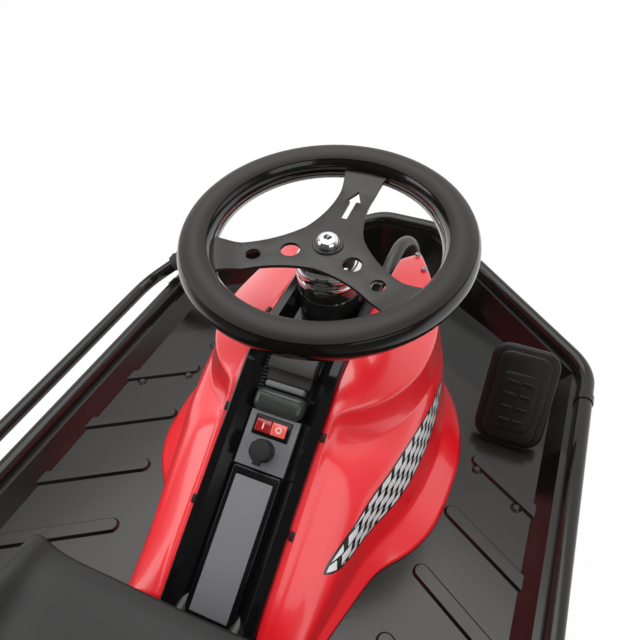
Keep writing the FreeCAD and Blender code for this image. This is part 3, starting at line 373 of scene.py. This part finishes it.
rim_matt = finish("rim_matt", (0.015, 0.0122, 0.01), (0.028, 0.024, 0.02), 0.42, 0.14,
                  (20.0, 0.5), (1400.0, 0.00015), specular=0.3)
rim_gloss = finish("rim_gloss", (0.003, 0.0024, 0.0018), (0.007, 0.006, 0.005), 0.16, 0.08,
                   (16.0, 0.4), (500.0, 0.00004), coat=(0.3, 0.05))
plate_paint = finish("plate_paint", (0.0125, 0.0102, 0.0082), (0.024, 0.0205, 0.0175), 0.42, 0.15,
                     (30.0, 0.5), (2200.0, 0.0001))
ring_steel = finish("ring_steel", (0.5, 0.48, 0.45), (0.3, 0.28, 0.26), 0.3, 0.2,
                    (40.0, 0.5), (1500.0, 0.0001), metallic=1.0)
chrome = finish("chrome", (0.86, 0.86, 0.88), (0.7, 0.7, 0.72), 0.07, 0.06,
                (30.0, 0.3), (400.0, 0.00002), metallic=1.0)
bare_steel = finish("bare_steel", (0.42, 0.42, 0.43), (0.25, 0.23, 0.21), 0.36, 0.2,
                    (60.0, 0.5), (1200.0, 0.0001), metallic=1.0)
washer_black = finish("washer_black", (0.006, 0.006, 0.006), (0.02, 0.02, 0.02), 0.35, 0.1)
dress(bare_steel, "steering_stem")

joints = {joint["name"]: joint for joint in frame["joints"]}
steer_place = facing(wheel_centre, joints["steer"]["axis"])
# the rim's section in millimetres and degrees, its band between grooves on its upper side
rim_radius, rim_tube, rim_steps = 145.0, 19.0, 96
groove_at, groove_run, groove_depth = 40, 2, 1.1
band_step, gloss_step, gloss_drop = 10, 12, 0.15
band_end, gloss_end = 180 - groove_at, 360 + groove_at
section = [(groove_at, rim_tube - groove_depth)]
section += [(a, rim_tube) for a in range(groove_at + groove_run, band_end, band_step)]
section += [(band_end - groove_run, rim_tube), (band_end, rim_tube - groove_depth)]
section += [(a, rim_tube - gloss_drop)
            for a in range(band_end + groove_run, gloss_end - groove_run, gloss_step)]
section += [(gloss_end - groove_run, rim_tube - gloss_drop)]
section = [(rim_radius + r * math.cos(math.radians(a)), r * math.sin(math.radians(a)))
           for a, r in section]
bm = bmesh.new()
add_turned(bm, section, rim_steps, Matrix.Identity(4))
for face in bm.faces:
    middle = face.calc_center_median() * 1000
    turn = math.degrees(math.atan2(middle.z, math.hypot(middle.x, middle.y) - rim_radius))
    in_band = groove_at + groove_run / 2 < turn < band_end - groove_run / 2
    face.material_index = 0 if in_band else 1
bm.transform(steer_place)
piece("rim", bm, "steering", ["steering_rim"], rim_matt, rim_gloss)

ring_section = [(125.2, -7.5), (127.5, -7.5), (128.5, -10.5), (124.4, -10.5)]
turned_piece("trim_ring", ring_section, rim_steps, steer_place, "steering", ["rim_ring"],
             ring_steel)

# the plate's three spokes bend up over a short run, to meet the rim
rise_from, rise_run, rise_height, rise_cuts = 0.094, 0.034, 0.009, 5
bm = bmesh.new()
bm.from_mesh(nodes["spoke_plate"].data)
bmesh.ops.remove_doubles(bm, verts=bm.verts, dist=same_point)
bm.transform(steer_place.inverted())
for turn in (-90, 30, 150):
    along = Vector((math.cos(math.radians(turn)), math.sin(math.radians(turn)), 0))
    for cut in range(rise_cuts):
        bmesh.ops.bisect_plane(bm, geom=bm.verts[:] + bm.edges[:] + bm.faces[:], dist=0.00001,
                               plane_co=along * (rise_from + cut / rise_cuts * rise_run),
                               plane_no=along)
for vert in bm.verts:
    reach = (math.hypot(vert.co.x, vert.co.y) - rise_from) / rise_run
    reach = min(max(reach, 0), 1)
    vert.co.z += rise_height * reach * reach * (3 - 2 * reach)
sharp = [e for e in bm.edges if e.is_manifold and e.calc_face_angle() > math.radians(60)]
round_edges(bm, sharp, 0.6, 2, clamped=True)
bm.transform(steer_place)
piece("plate", bm, "steering", ["spoke_plate"], plate_paint)

# the bolt's round head is drawn in to the lip of a hexagonal socket, then down to its floor
socket_radius, socket_lip, socket_floor = 5.5, 2.0, -3.5
head_section = [(14, -7), (14, -4.5), (13.3, -2.2), (11.5, 0), (10.4, 0.9), (9, 1.5), (6.6, 2.1)]
bm = bmesh.new()
add_turned(bm, head_section, 48, Matrix.Identity(4), closed=False)
inner = [e for e in bm.edges if e.is_boundary and min(v.co.z for v in e.verts) > 0]
for height in (socket_lip, socket_floor):
    drawn = bmesh.ops.extrude_edge_only(bm, edges=inner)["geom"]
    for vert in [v for v in drawn if isinstance(v, bmesh.types.BMVert)]:
        turn = math.atan2(vert.co.y, vert.co.x) % (math.pi / 3) - math.pi / 6
        side_at = socket_radius * math.cos(math.pi / 6) / math.cos(turn)
        reach = side_at / math.hypot(vert.co.x, vert.co.y) / 1000
        vert.co = Vector((vert.co.x * reach, vert.co.y * reach, height / 1000))
    inner = [e for e in drawn if isinstance(e, bmesh.types.BMEdge) and e.is_boundary]
bmesh.ops.edgeloop_fill(bm, edges=inner)
bm.transform(steer_place)
piece("hub_bolt_head", bm, "steering", ["hub_bolt"], chrome)

washer_section = [(10, -9), (17, -9), (17.5, -8.6), (17.5, -7.4), (17, -7), (10, -7)]
turned_piece("hub_washer", washer_section, 40, steer_place, "steering", [], washer_black)

collar_section = [(12.6, -21), (24, -21), (30, -22), (34.2, -24.3), (37, -28), (38.2, -32.5),
                  (38.2, -39), (37.6, -40.2), (36, -40.8), (36, -43.4), (37.6, -44),
                  (38.2, -45.2), (38.2, -49.4), (37.2, -50.4), (12.6, -50.4)]
turned_piece("collar", collar_section, 64, steer_place, "steering", ["steering_collar"], chrome)

sleeve_black = finish("sleeve_black", (0.012, 0.0115, 0.011), (0.02, 0.019, 0.018), 0.1, 0.05,
                      (16.0, 0.4), (500.0, 0.00003), coat=(1.0, 0.03), specular=0.9)
sleeve_section = [(32.2, -51.6), (36.6, -51.6), (37.4, -52.6), (37.4, -66), (36.4, -66.8),
                  (36.4, -68.6), (37.4, -69.4), (37.4, -96), (36.4, -97), (32.2, -97)]
turned_piece("head_sleeve", sleeve_section, 64, steer_place, "chassis", [], sleeve_black)

# ---------------------------------------------------------------- hood
# Two halves moulded in gloss red plastic, 3 mm thick, clipped along the console. Each is a
# horn in front, a dome with a soft crest and a long body behind it, with a flange at its foot.
pan_floor = 0.06


def kart_place(out, ahead, up):
    """A place from millimetres out to the kart's left, ahead of the steering wheel's centre
    and above the pan's floor."""
    return Vector((wheel_centre.x + out / 1000, wheel_centre.y - ahead / 1000,
                   pan_floor + up / 1000))


def sheet_of_columns(columns, side, firm):
    """A sheet drawn out from its first column of points to each of the next in turn. The
    firm rows of points keep a crease under the smoothing."""
    bm = bmesh.new()
    crease = bm.edges.layers.float.new("crease_edge")
    tips = [bm.verts.new(kart_place(side * out, ahead, up)) for out, ahead, up in columns[0]]
    edges = [bm.edges.new(pair) for pair in zip(tips, tips[1:])]
    for column in columns[1:]:
        last_tips = tips
        drawn = bmesh.ops.extrude_edge_only(bm, edges=edges)["geom"]
        tips = [v for v in drawn if isinstance(v, bmesh.types.BMVert)]
        # extruded points keep the order of the column they came from
        for vert, (out, ahead, up) in zip(tips, column):
            vert.co = kart_place(side * out, ahead, up)
        for row, firmness in firm.items():
            bm.edges.get((last_tips[row], tips[row]))[crease] = firmness
        edges = [e for e in drawn
                 if isinstance(e, bmesh.types.BMEdge) and all(v in tips for v in e.verts)]
    return bm


def moulded(name, bm, outwards, wall, wall_side, material, stands_for):
    """A smoothed sheet with a wall in metres to its inside (-1) or outside (1), as a piece of
    the chassis in the place of one CAD node. Outwards is where most of its outside faces."""
    bmesh.ops.recalc_face_normals(bm, faces=bm.faces)
    if sum(f.normal.dot(Vector(outwards)) * f.calc_area() for f in bm.faces) < 0:
        bmesh.ops.reverse_faces(bm, faces=bm.faces)
    mesh = bpy.data.meshes.new(name)
    bm.to_mesh(mesh)
    bm.free()
    mesh.polygons.foreach_set("use_smooth", [True] * len(mesh.polygons))
    mesh.materials.append(material)
    shell = bpy.data.objects.new(name, mesh)
    scene.collection.objects.link(shell)
    smooth = shell.modifiers.new("smooth", "SUBSURF")
    smooth.levels = smooth.render_levels = 3
    thick = shell.modifiers.new("thick", "SOLIDIFY")
    thick.thickness = wall
    thick.offset = wall_side
    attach(shell, "chassis")
    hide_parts(stands_for)


# rows of a column: edge, top, crest, under the crest, valley, body, body's crest, flange, foot
hood_columns = [
    [(54, 215, 70), (55, 215, 70), (57, 215, 68), (59, 215, 64), (60, 215, 58), (61, 215, 52), (62, 215, 44),
     (64, 214, 24), (70, 212, 2)],
    [(54, 141, 182), (63, 153, 182), (72, 163, 180), (75, 163, 158), (79, 161, 134), (83, 160, 114),
     (88, 158, 96), (98, 154, 33), (113, 147, 2)],
    [(54, 128, 198), (62, 140, 199), (72, 152, 198), (77, 149, 170), (82, 147, 140), (87, 146, 118),
     (93, 144, 98), (104, 140, 33), (122, 133, 2)],
    [(54, 112, 200), (75, 114, 200), (94, 117, 195), (101, 117, 162), (107, 117, 132), (112, 116, 115),
     (118, 116, 98), (128, 113, 33), (149, 106, 2)],
    [(54, 90, 202), (80, 92, 200), (106, 95, 190), (114, 95, 156), (120, 95, 128), (124, 95, 114),
     (129, 95, 99), (139, 92, 33), (164, 85, 2)],
    [(54, 60, 203), (96, 60, 192), (128, 60, 169), (133, 60, 144), (136, 60, 128), (139, 58, 116),
     (143, 56, 100), (154, 53, 32), (182, 44, 2)],
    [(54, -8, 207), (97, -8, 192), (134, -8, 171), (137, -8, 144), (140, -8, 128), (145, -8, 117),
     (150, -8, 98), (163, -8, 28), (194, -8, 2)],
    [(54, -28, 205), (90, -41, 192), (125, -54, 171), (127, -57, 143), (132, -60, 125), (139, -61, 115),
     (146, -62, 97), (161, -66, 27), (192, -74, 2)],
    [(54, -55, 199), (77, -70, 190), (105, -91, 171), (106, -95, 141), (111, -101, 125), (122, -101, 119),
     (135, -102, 102), (156, -108, 26), (187, -117, 2)],
    [(54, -85, 189), (65, -95, 184), (81, -114, 171), (82, -119, 142), (88, -126, 129), (107, -128, 123),
     (128, -131, 103), (147, -139, 24), (174, -148, 2)],
    [(54, -112, 179), (56, -120, 177), (59, -129, 170), (60, -134, 149), (67, -142, 138), (97, -147, 126),
     (122, -153, 97), (137, -161, 22), (160, -170, 2)],
    [(54, -146, 154), (57, -148, 153), (61, -151, 151), (65, -154, 145), (73, -160, 138), (95, -172, 119),
     (117, -180, 88), (126, -186, 22), (140, -191, 2)],
    [(54, -210, 110), (57, -211, 109), (61, -211, 108), (65, -212, 104), (72, -214, 100), (92, -219, 86),
     (112, -224, 65), (118, -227, 18), (130, -230, 2)],
    [(54, -265, 71), (57, -265, 71), (61, -265, 70), (65, -266, 66), (71, -267, 63), (88, -270, 52),
     (105, -273, 37), (110, -275, 12), (118, -276, 2)],
    [(54, -325, 29), (57, -325, 29), (61, -325, 28), (64, -325, 27), (69, -325, 26), (83, -325, 22),
     (97, -325, 16), (101, -325, 8), (106, -325, 3)]]
hood_firm = {2: 0.62, 4: 0.55, 6: 0.3, 7: 0.7}
hood_wall = 0.003
hood_red = finish("hood_red", (0.88, 0.008, 0.018), (0.82, 0.006, 0.014), 0.3, 0.06,
                  (10.0, 0.35), (120.0, 0.0001), coat=(0.8, 0.09), specular=0.9)


def marked_red():
    """The red with a black sliver of slanted white dashes along the right wall."""
    sliver_reach, sliver_half, sliver_edge = 0.138, 0.023, 0.0022
    sliver_fall, sliver_taper = 0.018, 0.75
    row_start, row_height, row_gap, row_shift = 0.05, 0.0088, 0.15, 0.37
    dash_start, dash_length, dash_gap, dash_slant = 1.0, 0.021, 0.3, 0.8
    material = hood_red.copy()
    material.name = "hood_red_marked"
    tree = material.node_tree
    base = tree.nodes["Principled BSDF"].inputs["Base Color"]
    place = split(tree, tree.nodes.new("ShaderNodeTexCoord").outputs["Object"])
    centre = kart_place(0, -108, 80)
    along = value(tree, "DIVIDE", value(tree, "SUBTRACT", place["Y"], centre.y), sliver_reach)
    middle = value(tree, "SUBTRACT", centre.z, value(tree, "MULTIPLY", along, sliver_fall))
    above = value(tree, "SUBTRACT", place["Z"], middle)
    off = value(tree, "ABSOLUTE", above)
    room = value(tree, "SUBTRACT", 1.0, value(tree, "MULTIPLY", along, along))
    room = value(tree, "POWER", value(tree, "MAXIMUM", room, 0.0), sliver_taper)
    half = value(tree, "MULTIPLY", room, sliver_half)
    inside = value(tree, "GREATER_THAN", half, off)
    bordered = value(tree, "GREATER_THAN", value(tree, "SUBTRACT", half, sliver_edge), off)
    # rows of slanted dashes, each row shifted against the next
    rows = value(tree, "DIVIDE", value(tree, "ADD", above, row_start), row_height)
    shift = value(tree, "MULTIPLY", value(tree, "FLOOR", rows), row_shift)
    slanted = value(tree, "ADD", place["Y"], value(tree, "MULTIPLY", place["Z"], dash_slant))
    dashes = value(tree, "DIVIDE", value(tree, "ADD", slanted, dash_start), dash_length)
    dashes = value(tree, "FRACT", value(tree, "ADD", dashes, shift))
    dash = value(tree, "MULTIPLY", value(tree, "GREATER_THAN", dashes, dash_gap),
                 value(tree, "GREATER_THAN", value(tree, "FRACT", rows), row_gap))
    printed = mixed(tree, value(tree, "MULTIPLY", bordered, dash),
                    (0.006, 0.006, 0.007), (0.78, 0.78, 0.78))
    tree.links.new(mixed(tree, inside, base.links[0].from_socket, printed), base)
    return material


for side, name, material in ((1, "left", hood_red), (-1, "right", marked_red())):
    moulded("cover_" + name, sheet_of_columns(hood_columns, side, hood_firm), (side, 0, 1),
            hood_wall, -1, material, "hood_" + name)


def add_sharp_block(bm, low, high):
    """Adds a block between two corners in millimetres, and returns its points."""
    made = bmesh.ops.create_cube(bm, size=1.0)["verts"]
    for vert in made:
        vert.co = Vector([(low[i] + high[i]) / 2 + vert.co[i] * (high[i] - low[i])
                          for i in range(3)]) / 1000
    return made


def add_block(bm, low, high, radius, segments, place):
    """Adds a block with rounded edges, between two corners in millimetres."""
    before = set(bm.verts)
    made = add_sharp_block(bm, low, high)
    round_edges(bm, list({e for v in made for e in v.link_edges}), radius, segments)
    made = [v for v in bm.verts if v not in before]
    bmesh.ops.transform(bm, matrix=place, verts=made)


dark_plastic = finish("dark_plastic", (0.012, 0.0115, 0.011), (0.028, 0.027, 0.026), 0.4, 0.15,
                      (25.0, 0.4), (1800.0, 0.0002), specular=0.3)
# the console's top is level as far as its bend and leans down to the seat behind it
bend_at, bend_lean = 95, math.radians(-35)
bm = bmesh.new()
for side in (-1, 1):
    for behind, up in ((40, 204), (150, 153), (235, 93)):
        lean = Matrix.Rotation(bend_lean if behind > bend_at else 0, 4, "X")
        add_block(bm, (-2.5, -5, -1), (2.5, 5, 1.5), 0.8, 2,
                  Matrix.Translation(kart_place(side * 57.5, -behind, up)) @ lean)
piece("hood_clips", bm, "chassis", [], dark_plastic)

screw_section = [(0.4, -2), (3.6, -2), (3.6, 0.2), (2.8, 1), (1.2, 1), (1.2, 0.3), (0.4, 0.3)]
bm = bmesh.new()
for side in (-1, 1):
    for out, ahead, up in ((72, 140, 200.2), (88, 114, 199.4)):
        add_turned(bm, screw_section, 24, Matrix.Translation(kart_place(side * out, ahead, up)))
piece("hood_screws", bm, "chassis", [], bare_steel)

# ---------------------------------------------------------------- console
# Satin grey moulded pieces in a black pressed channel: a cover over the bend, a rounded
# latch, the switch panel with a red rocker and a knob, and a pad in a glossy frame. The
# rocker's raised half is painted lighter than its lower half, as painted light.
channel_black = finish("channel_black", (0.003, 0.003, 0.003), (0.008, 0.008, 0.008), 0.14, 0.08,
                       (9.0, 0.4), (200.0, 0.00004), specular=0.3)
cover_grey = finish("cover_grey", (0.028, 0.027, 0.0235), (0.042, 0.041, 0.036), 0.4, 0.12,
                    (25.0, 0.4), (2600.0, 0.0002), specular=0.4)
latch_grey = finish("latch_grey", (0.032, 0.036, 0.032), (0.05, 0.054, 0.05), 0.2, 0.1,
                    (25.0, 0.4), (900.0, 0.0001))
panel_grey = finish("panel_grey", (0.15, 0.15, 0.162), (0.18, 0.182, 0.193), 0.42, 0.12,
                    (25.0, 0.4), (2600.0, 0.0002))
rocker_dark = finish("rocker_dark", (0.35, 0.008, 0.01), (0.3, 0.006, 0.008), 0.12, 0.05,
                     (60.0, 0.3), (500.0, 0.00003), coat=(0.6, 0.04))
# the rocker's red made lighter, as painted light on its raised half
rocker_painted_light = finish("rocker_painted_light", (0.85, 0.12, 0.1), (0.8, 0.08, 0.07), 0.15, 0.05,
                    (60.0, 0.3), (500.0, 0.00003), coat=(0.5, 0.05))
mark_white = finish("mark_white", (0.75, 0.7, 0.68), (0.7, 0.65, 0.63), 0.4, 0.1)
dress(channel_black, "console_channel")
softened("console_cover", "chassis", cover_grey, 1.5, 3)
softened("switch_panel", "chassis", panel_grey, 0.6)
softened("charge_cap", "chassis", dark_plastic, 0.6)
# places on the leaning part of the console: X across, Y down the slope, Z out of its face
bend_place = Matrix.Translation(kart_place(0, -bend_at, 200))
console_place = bend_place @ Matrix.Rotation(bend_lean, 4, "X")
rocker_place = console_place @ Matrix.Rotation(math.radians(-4), 4, "Y")


def block_piece(name, low, high, radius, segments, material, stands_for=(), place=console_place):
    """One rounded block as a piece of the chassis, between two corners in millimetres."""
    bm = bmesh.new()
    add_block(bm, low, high, radius, segments, place)
    piece(name, bm, "chassis", stands_for, material)


block_piece("cover_apron", (-26, 12, -16), (26, 30.5, -8.5), 1.5, 3, cover_grey)
block_piece("latch_ridge", (-23, 31, -15), (23, 38, -2.5), 2.5, 4, panel_grey)
block_piece("latch_roll", (-29, 40, -16), (29, 65.2, 3), 8.5, 7, latch_grey, ["console_latch"])
block_piece("rocker_frame", (-21.5, 69, -9), (21.5, 91, -6), 1.2, 3, channel_black)
block_piece("rocker_low", (0.4, 73, -9), (17.5, 87, -4.2), 0.9, 3, rocker_dark,
            ["rocker_switch"], rocker_place)
# the raised half carries the red with painted light
block_piece("rocker_high", (-17.5, 73, -9), (-0.4, 87, -4.2), 0.9, 3, rocker_painted_light,
            place=rocker_place)
# a stroke and a ring, for on and off
ring_centre = Matrix.Translation((-0.009, 0.08, 0))
bm = bmesh.new()
add_block(bm, (8.2, 76.5, -4.3), (9.6, 83.5, -4.05), 0.1, 1, rocker_place)
add_turned(bm, [(2.2, -4.3), (3.4, -4.3), (3.4, -4.05), (2.2, -4.05)], 24,
           rocker_place @ ring_centre)
piece("rocker_marks", bm, "chassis", [], mark_white)

block_piece("pad_frame", (-28.5, 126.5, -15), (28.5, 286, -7), 2.5, 4, channel_black,
            ["console_pad"])
block_piece("pad_top", (-22, 136, -12), (22, 280, -6.4), 1.2, 3, panel_grey)
rib_pitch, rib_width = 4, 2.6
bm = bmesh.new()
for rib in range(11):
    start = 1 + rib * rib_pitch
    add_block(bm, (26, start, -13.5), (33, start + rib_width, -9.5), 0.6, 2, console_place)
piece("ribbed_strip", bm, "chassis", [], dark_plastic)

# ---------------------------------------------------------------- pedal
# The throttle: a moulded black pad with a raised tread and short ribs, on a deep housing.
# It slopes up and ahead from its hinge block, at the right side of the pan.
pedal_black = finish("pedal_black", (0.006, 0.0052, 0.0045), (0.012, 0.011, 0.01), 0.3, 0.1,
                     (25.0, 0.4), (1800.0, 0.0001), specular=0.28)
pedal_foot = Matrix.Translation(kart_place(-240, 36, 16))
pedal_place = pedal_foot @ Matrix.Rotation(math.radians(-50), 4, "X")


def add_pad(bm, low, high, corner, edge):
    """Adds a plate with round corners in plan and softly rounded edges, on the pedal's axes."""
    before = set(bm.verts)
    made = add_sharp_block(bm, low, high)
    upright = {e for v in made for e in v.link_edges
               if abs(e.verts[0].co.z - e.verts[1].co.z) > 0.001}
    round_edges(bm, list(upright), corner, 7)
    made = [v for v in bm.verts if v not in before]
    rims = {e for v in made for e in v.link_edges if e.calc_face_angle() > math.radians(60)}
    round_edges(bm, list(rims), edge, 3)
    made = [v for v in bm.verts if v not in before]
    bmesh.ops.transform(bm, matrix=pedal_place, verts=made)


bm = bmesh.new()
add_pad(bm, (-44, -126, -18), (44, 5, -1), 22, 4)
add_pad(bm, (-34, -117, -2), (34, 0, 6), 15, 2.5)
add_pad(bm, (-24, -90, 5), (24, -14, 7.6), 9, 1.2)
piece("pedal", bm, "chassis", ["throttle_pedal"], pedal_black)
grip_pitch, grip_width, grip_half = 17, 5, 7.5
bm = bmesh.new()
for row in range(4):
    start = -80 + row * grip_pitch
    for middle in (-9.5, 9.5):
        add_block(bm, (middle - grip_half, start, 7),
                  (middle + grip_half, start + grip_width, 8.6), 0.75, 3, pedal_place)
piece("pedal_grips", bm, "chassis", [], pedal_black)
block_piece("pedal_hinge", (-30, -3, -15), (30, 9, -3), 3, 3, pedal_black, ["pedal_base"],
            pedal_place)

# ---------------------------------------------------------------- front guards
# A bent steel tube on each side in front of the steering wheel, painted dark grey. It leaves
# the strut's front bend, turns outwards and goes down to the pan.
def bent_bar(name, points, radius, body, material):
    """A round bar along a smooth line through places of the kart, its radius in millimetres."""
    line = bpy.data.curves.new(name, "CURVE")
    line.dimensions = "3D"
    spline = line.splines.new("BEZIER")
    spline.bezier_points.add(len(points) - 1)
    for knot, point in zip(spline.bezier_points, points):
        knot.co = point
        knot.handle_left_type = knot.handle_right_type = "AUTO"
    line.bevel_depth = radius / 1000
    line.bevel_resolution = 6
    line.resolution_u = 10
    line.use_fill_caps = True
    line.materials.append(material)
    bar = bpy.data.objects.new(name, line)
    scene.collection.objects.link(bar)
    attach(bar, body)


guard_paint = finish("guard_paint", (0.03, 0.028, 0.026), (0.045, 0.042, 0.039), 0.3, 0.1,
                     (9.0, 0.4), (260.0, 0.00006))
guard_radius = 9.5
guard_line = [(34, 118, 152), (34, 165, 166), (37, 200, 168), (43, 218, 158), (49, 225, 134),
              (52, 226, 80), (52, 226, 1)]
for side, name in ((1, "guard_left"), (-1, "guard_right")):
    points = [kart_place(side * out, ahead, up) for out, ahead, up in guard_line]
    bent_bar(name, points, guard_radius, "chassis", guard_paint)

# ---------------------------------------------------------------- seat
# One moulded shell of black plastic, 5 mm thick, with raised sides and a rolled edge. It is
# bolted to mounts on the frame over the battery's box.
seat_behind, seat_up, seat_wall = 345, 98, 0.005
# places along the seat's middle from the front edge: behind it, above it, height of the sides
seat_spine = [(0, -6, 18), (22, 1, 20), (60, -6, 30), (150, -4, 52), (215, 6, 72), (262, 60, 80),
              (285, 150, 72), (305, 250, 56), (320, 328, 34)]
seat_columns = []
for i, (behind, up, wing) in enumerate(seat_spine):
    before, after = seat_spine[max(i - 1, 0)], seat_spine[min(i + 1, len(seat_spine) - 1)]
    run = math.hypot(after[0] - before[0], after[1] - before[1])
    # heights stand square to the seat's line
    face_behind, face_up = -(after[1] - before[1]) / run, (after[0] - before[0]) / run
    side_half = [(176, wing - 17), (175, wing - 4), (167, wing), (159, wing - 5),
                 (150, wing * 0.45), (128, wing * 0.05 + 2), (80, 3.5)]
    row = [(-out, height) for out, height in side_half] + [(0, 0.5)] + side_half[::-1]
    seat_columns.append([(out, -(seat_behind + behind + face_behind * height),
                          seat_up + up + face_up * height) for out, height in row])
moulded("seat", sheet_of_columns(seat_columns, 1, {}), (0, -1, 1), seat_wall, 1, dark_plastic,
        "seat_shell")
softened("battery_box", "chassis", dark_plastic, 4.0, 4)
dress(dark_plastic, "flag_socket")

# ---------------------------------------------------------------- drive unit and casters
# A grooved rubber tyre on a plastic rim stands in the steered fork, driven by a chain from its
# painted motor. Behind, two small grey urethane wheels stand in swivelling forks. The drift
# bar that turns their beam ends in a rubber grip.
tyre_rubber = finish("tyre_rubber", (0.016, 0.016, 0.016), (0.05, 0.047, 0.044), 0.7, 0.2,
                     (14.0, 0.6), (1600.0, 0.0004))
grip_rubber = finish("grip_rubber", (0.02, 0.02, 0.02), (0.04, 0.04, 0.04), 0.65, 0.15,
                     (30.0, 0.4), (1500.0, 0.0003))
caster_urethane = finish("caster_urethane", (0.05, 0.05, 0.052), (0.1, 0.1, 0.1), 0.45, 0.15,
                         (30.0, 0.5), (900.0, 0.0002))
motor_paint = finish("motor_paint", (0.05, 0.05, 0.053), (0.09, 0.09, 0.092), 0.4, 0.15,
                     (20.0, 0.4), (700.0, 0.0002))
dress(bare_steel, "drive_axle", "drive_chain", "drive_sprocket")
dress(dark_plastic, "drive_rim", "caster_hub_left", "caster_hub_right")
softened("drift_grip", "rear_beam", grip_rubber, 2.0, 3)
softened("drive_motor", "steering", motor_paint, 1.2)


def joint_place(name):
    """A place at a joint, with its own Z along the kart's width."""
    return facing(Vector(joints[name]["pos_m"]), (1, 0, 0))


def other_half(half):
    """The points of a section's other half, in the order that closes it."""
    return [(radius, -side) for radius, side in reversed(half)]


# half sections as (radius, side), the tyre's from its bead to the middle of its tread
half_tread = [(64, -19), (72, -23), (84, -25.3), (92, -24), (96.6, -20.5), (98.6, -16.5),
              (99.2, -13.5), (96.4, -12.8), (96.4, -10.6), (99.7, -9.8), (100, -5.6), (97, -4.8),
              (97, -2.6), (100, -1.8)]
half_caster = [(14, -9.5), (15, -11.6), (24, -11.9), (28, -11), (30.6, -8.6), (31.8, -5),
               (32, -1.5)]
turned_piece("tyre_tread", half_tread + other_half(half_tread), 96, joint_place("drive_roll"),
             "drive_wheel", ["drive_tyre"], tyre_rubber)
for side in ("left", "right"):
    turned_piece("wheel_" + side, half_caster + other_half(half_caster), 64,
                 joint_place("caster_roll_" + side), "caster_wheel_" + side,
                 ["caster_tyre_" + side], caster_urethane)


def add_nut(bm, across, thick, place):
    """Adds a hexagonal nut on a washer in millimetres, standing on the place's own Z."""
    washer_radius, washer_height = across * 0.68, 1
    add_turned(bm, [(0.5, 0), (washer_radius, 0), (washer_radius, washer_height), (0.5, washer_height)],
               32, place)
    before = set(bm.verts)
    corner_radius = across * 0.577 / 1000
    made = bmesh.ops.create_cone(bm, cap_ends=True, segments=6, radius1=corner_radius,
                                 radius2=corner_radius, depth=thick / 1000)["verts"]
    round_edges(bm, list({e for v in made for e in v.link_edges}), 0.5, 2)
    made = [v for v in bm.verts if v not in before]
    middle = (washer_height + thick / 2) / 1000
    bmesh.ops.transform(bm, matrix=place @ Matrix.Translation((0, 0, middle)), verts=made)


nut_across, nut_thick, nut_sunk = 10, 5, 0.0003
for side in ("left", "right"):
    fork_low, fork_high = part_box("caster_fork_" + side)
    hub = joint_place("caster_roll_" + side)
    middle = hub.translation.x
    bm = bmesh.new()
    for turn, out in ((0, fork_high.x - middle), (math.pi, middle - fork_low.x)):
        outwards = hub @ Matrix.Rotation(turn, 4, "Y")
        add_nut(bm, nut_across, nut_thick, outwards @ Matrix.Translation((0, 0, out - nut_sunk)))
    piece("caster_nuts_" + side, bm, "caster_" + side, [], bare_steel)
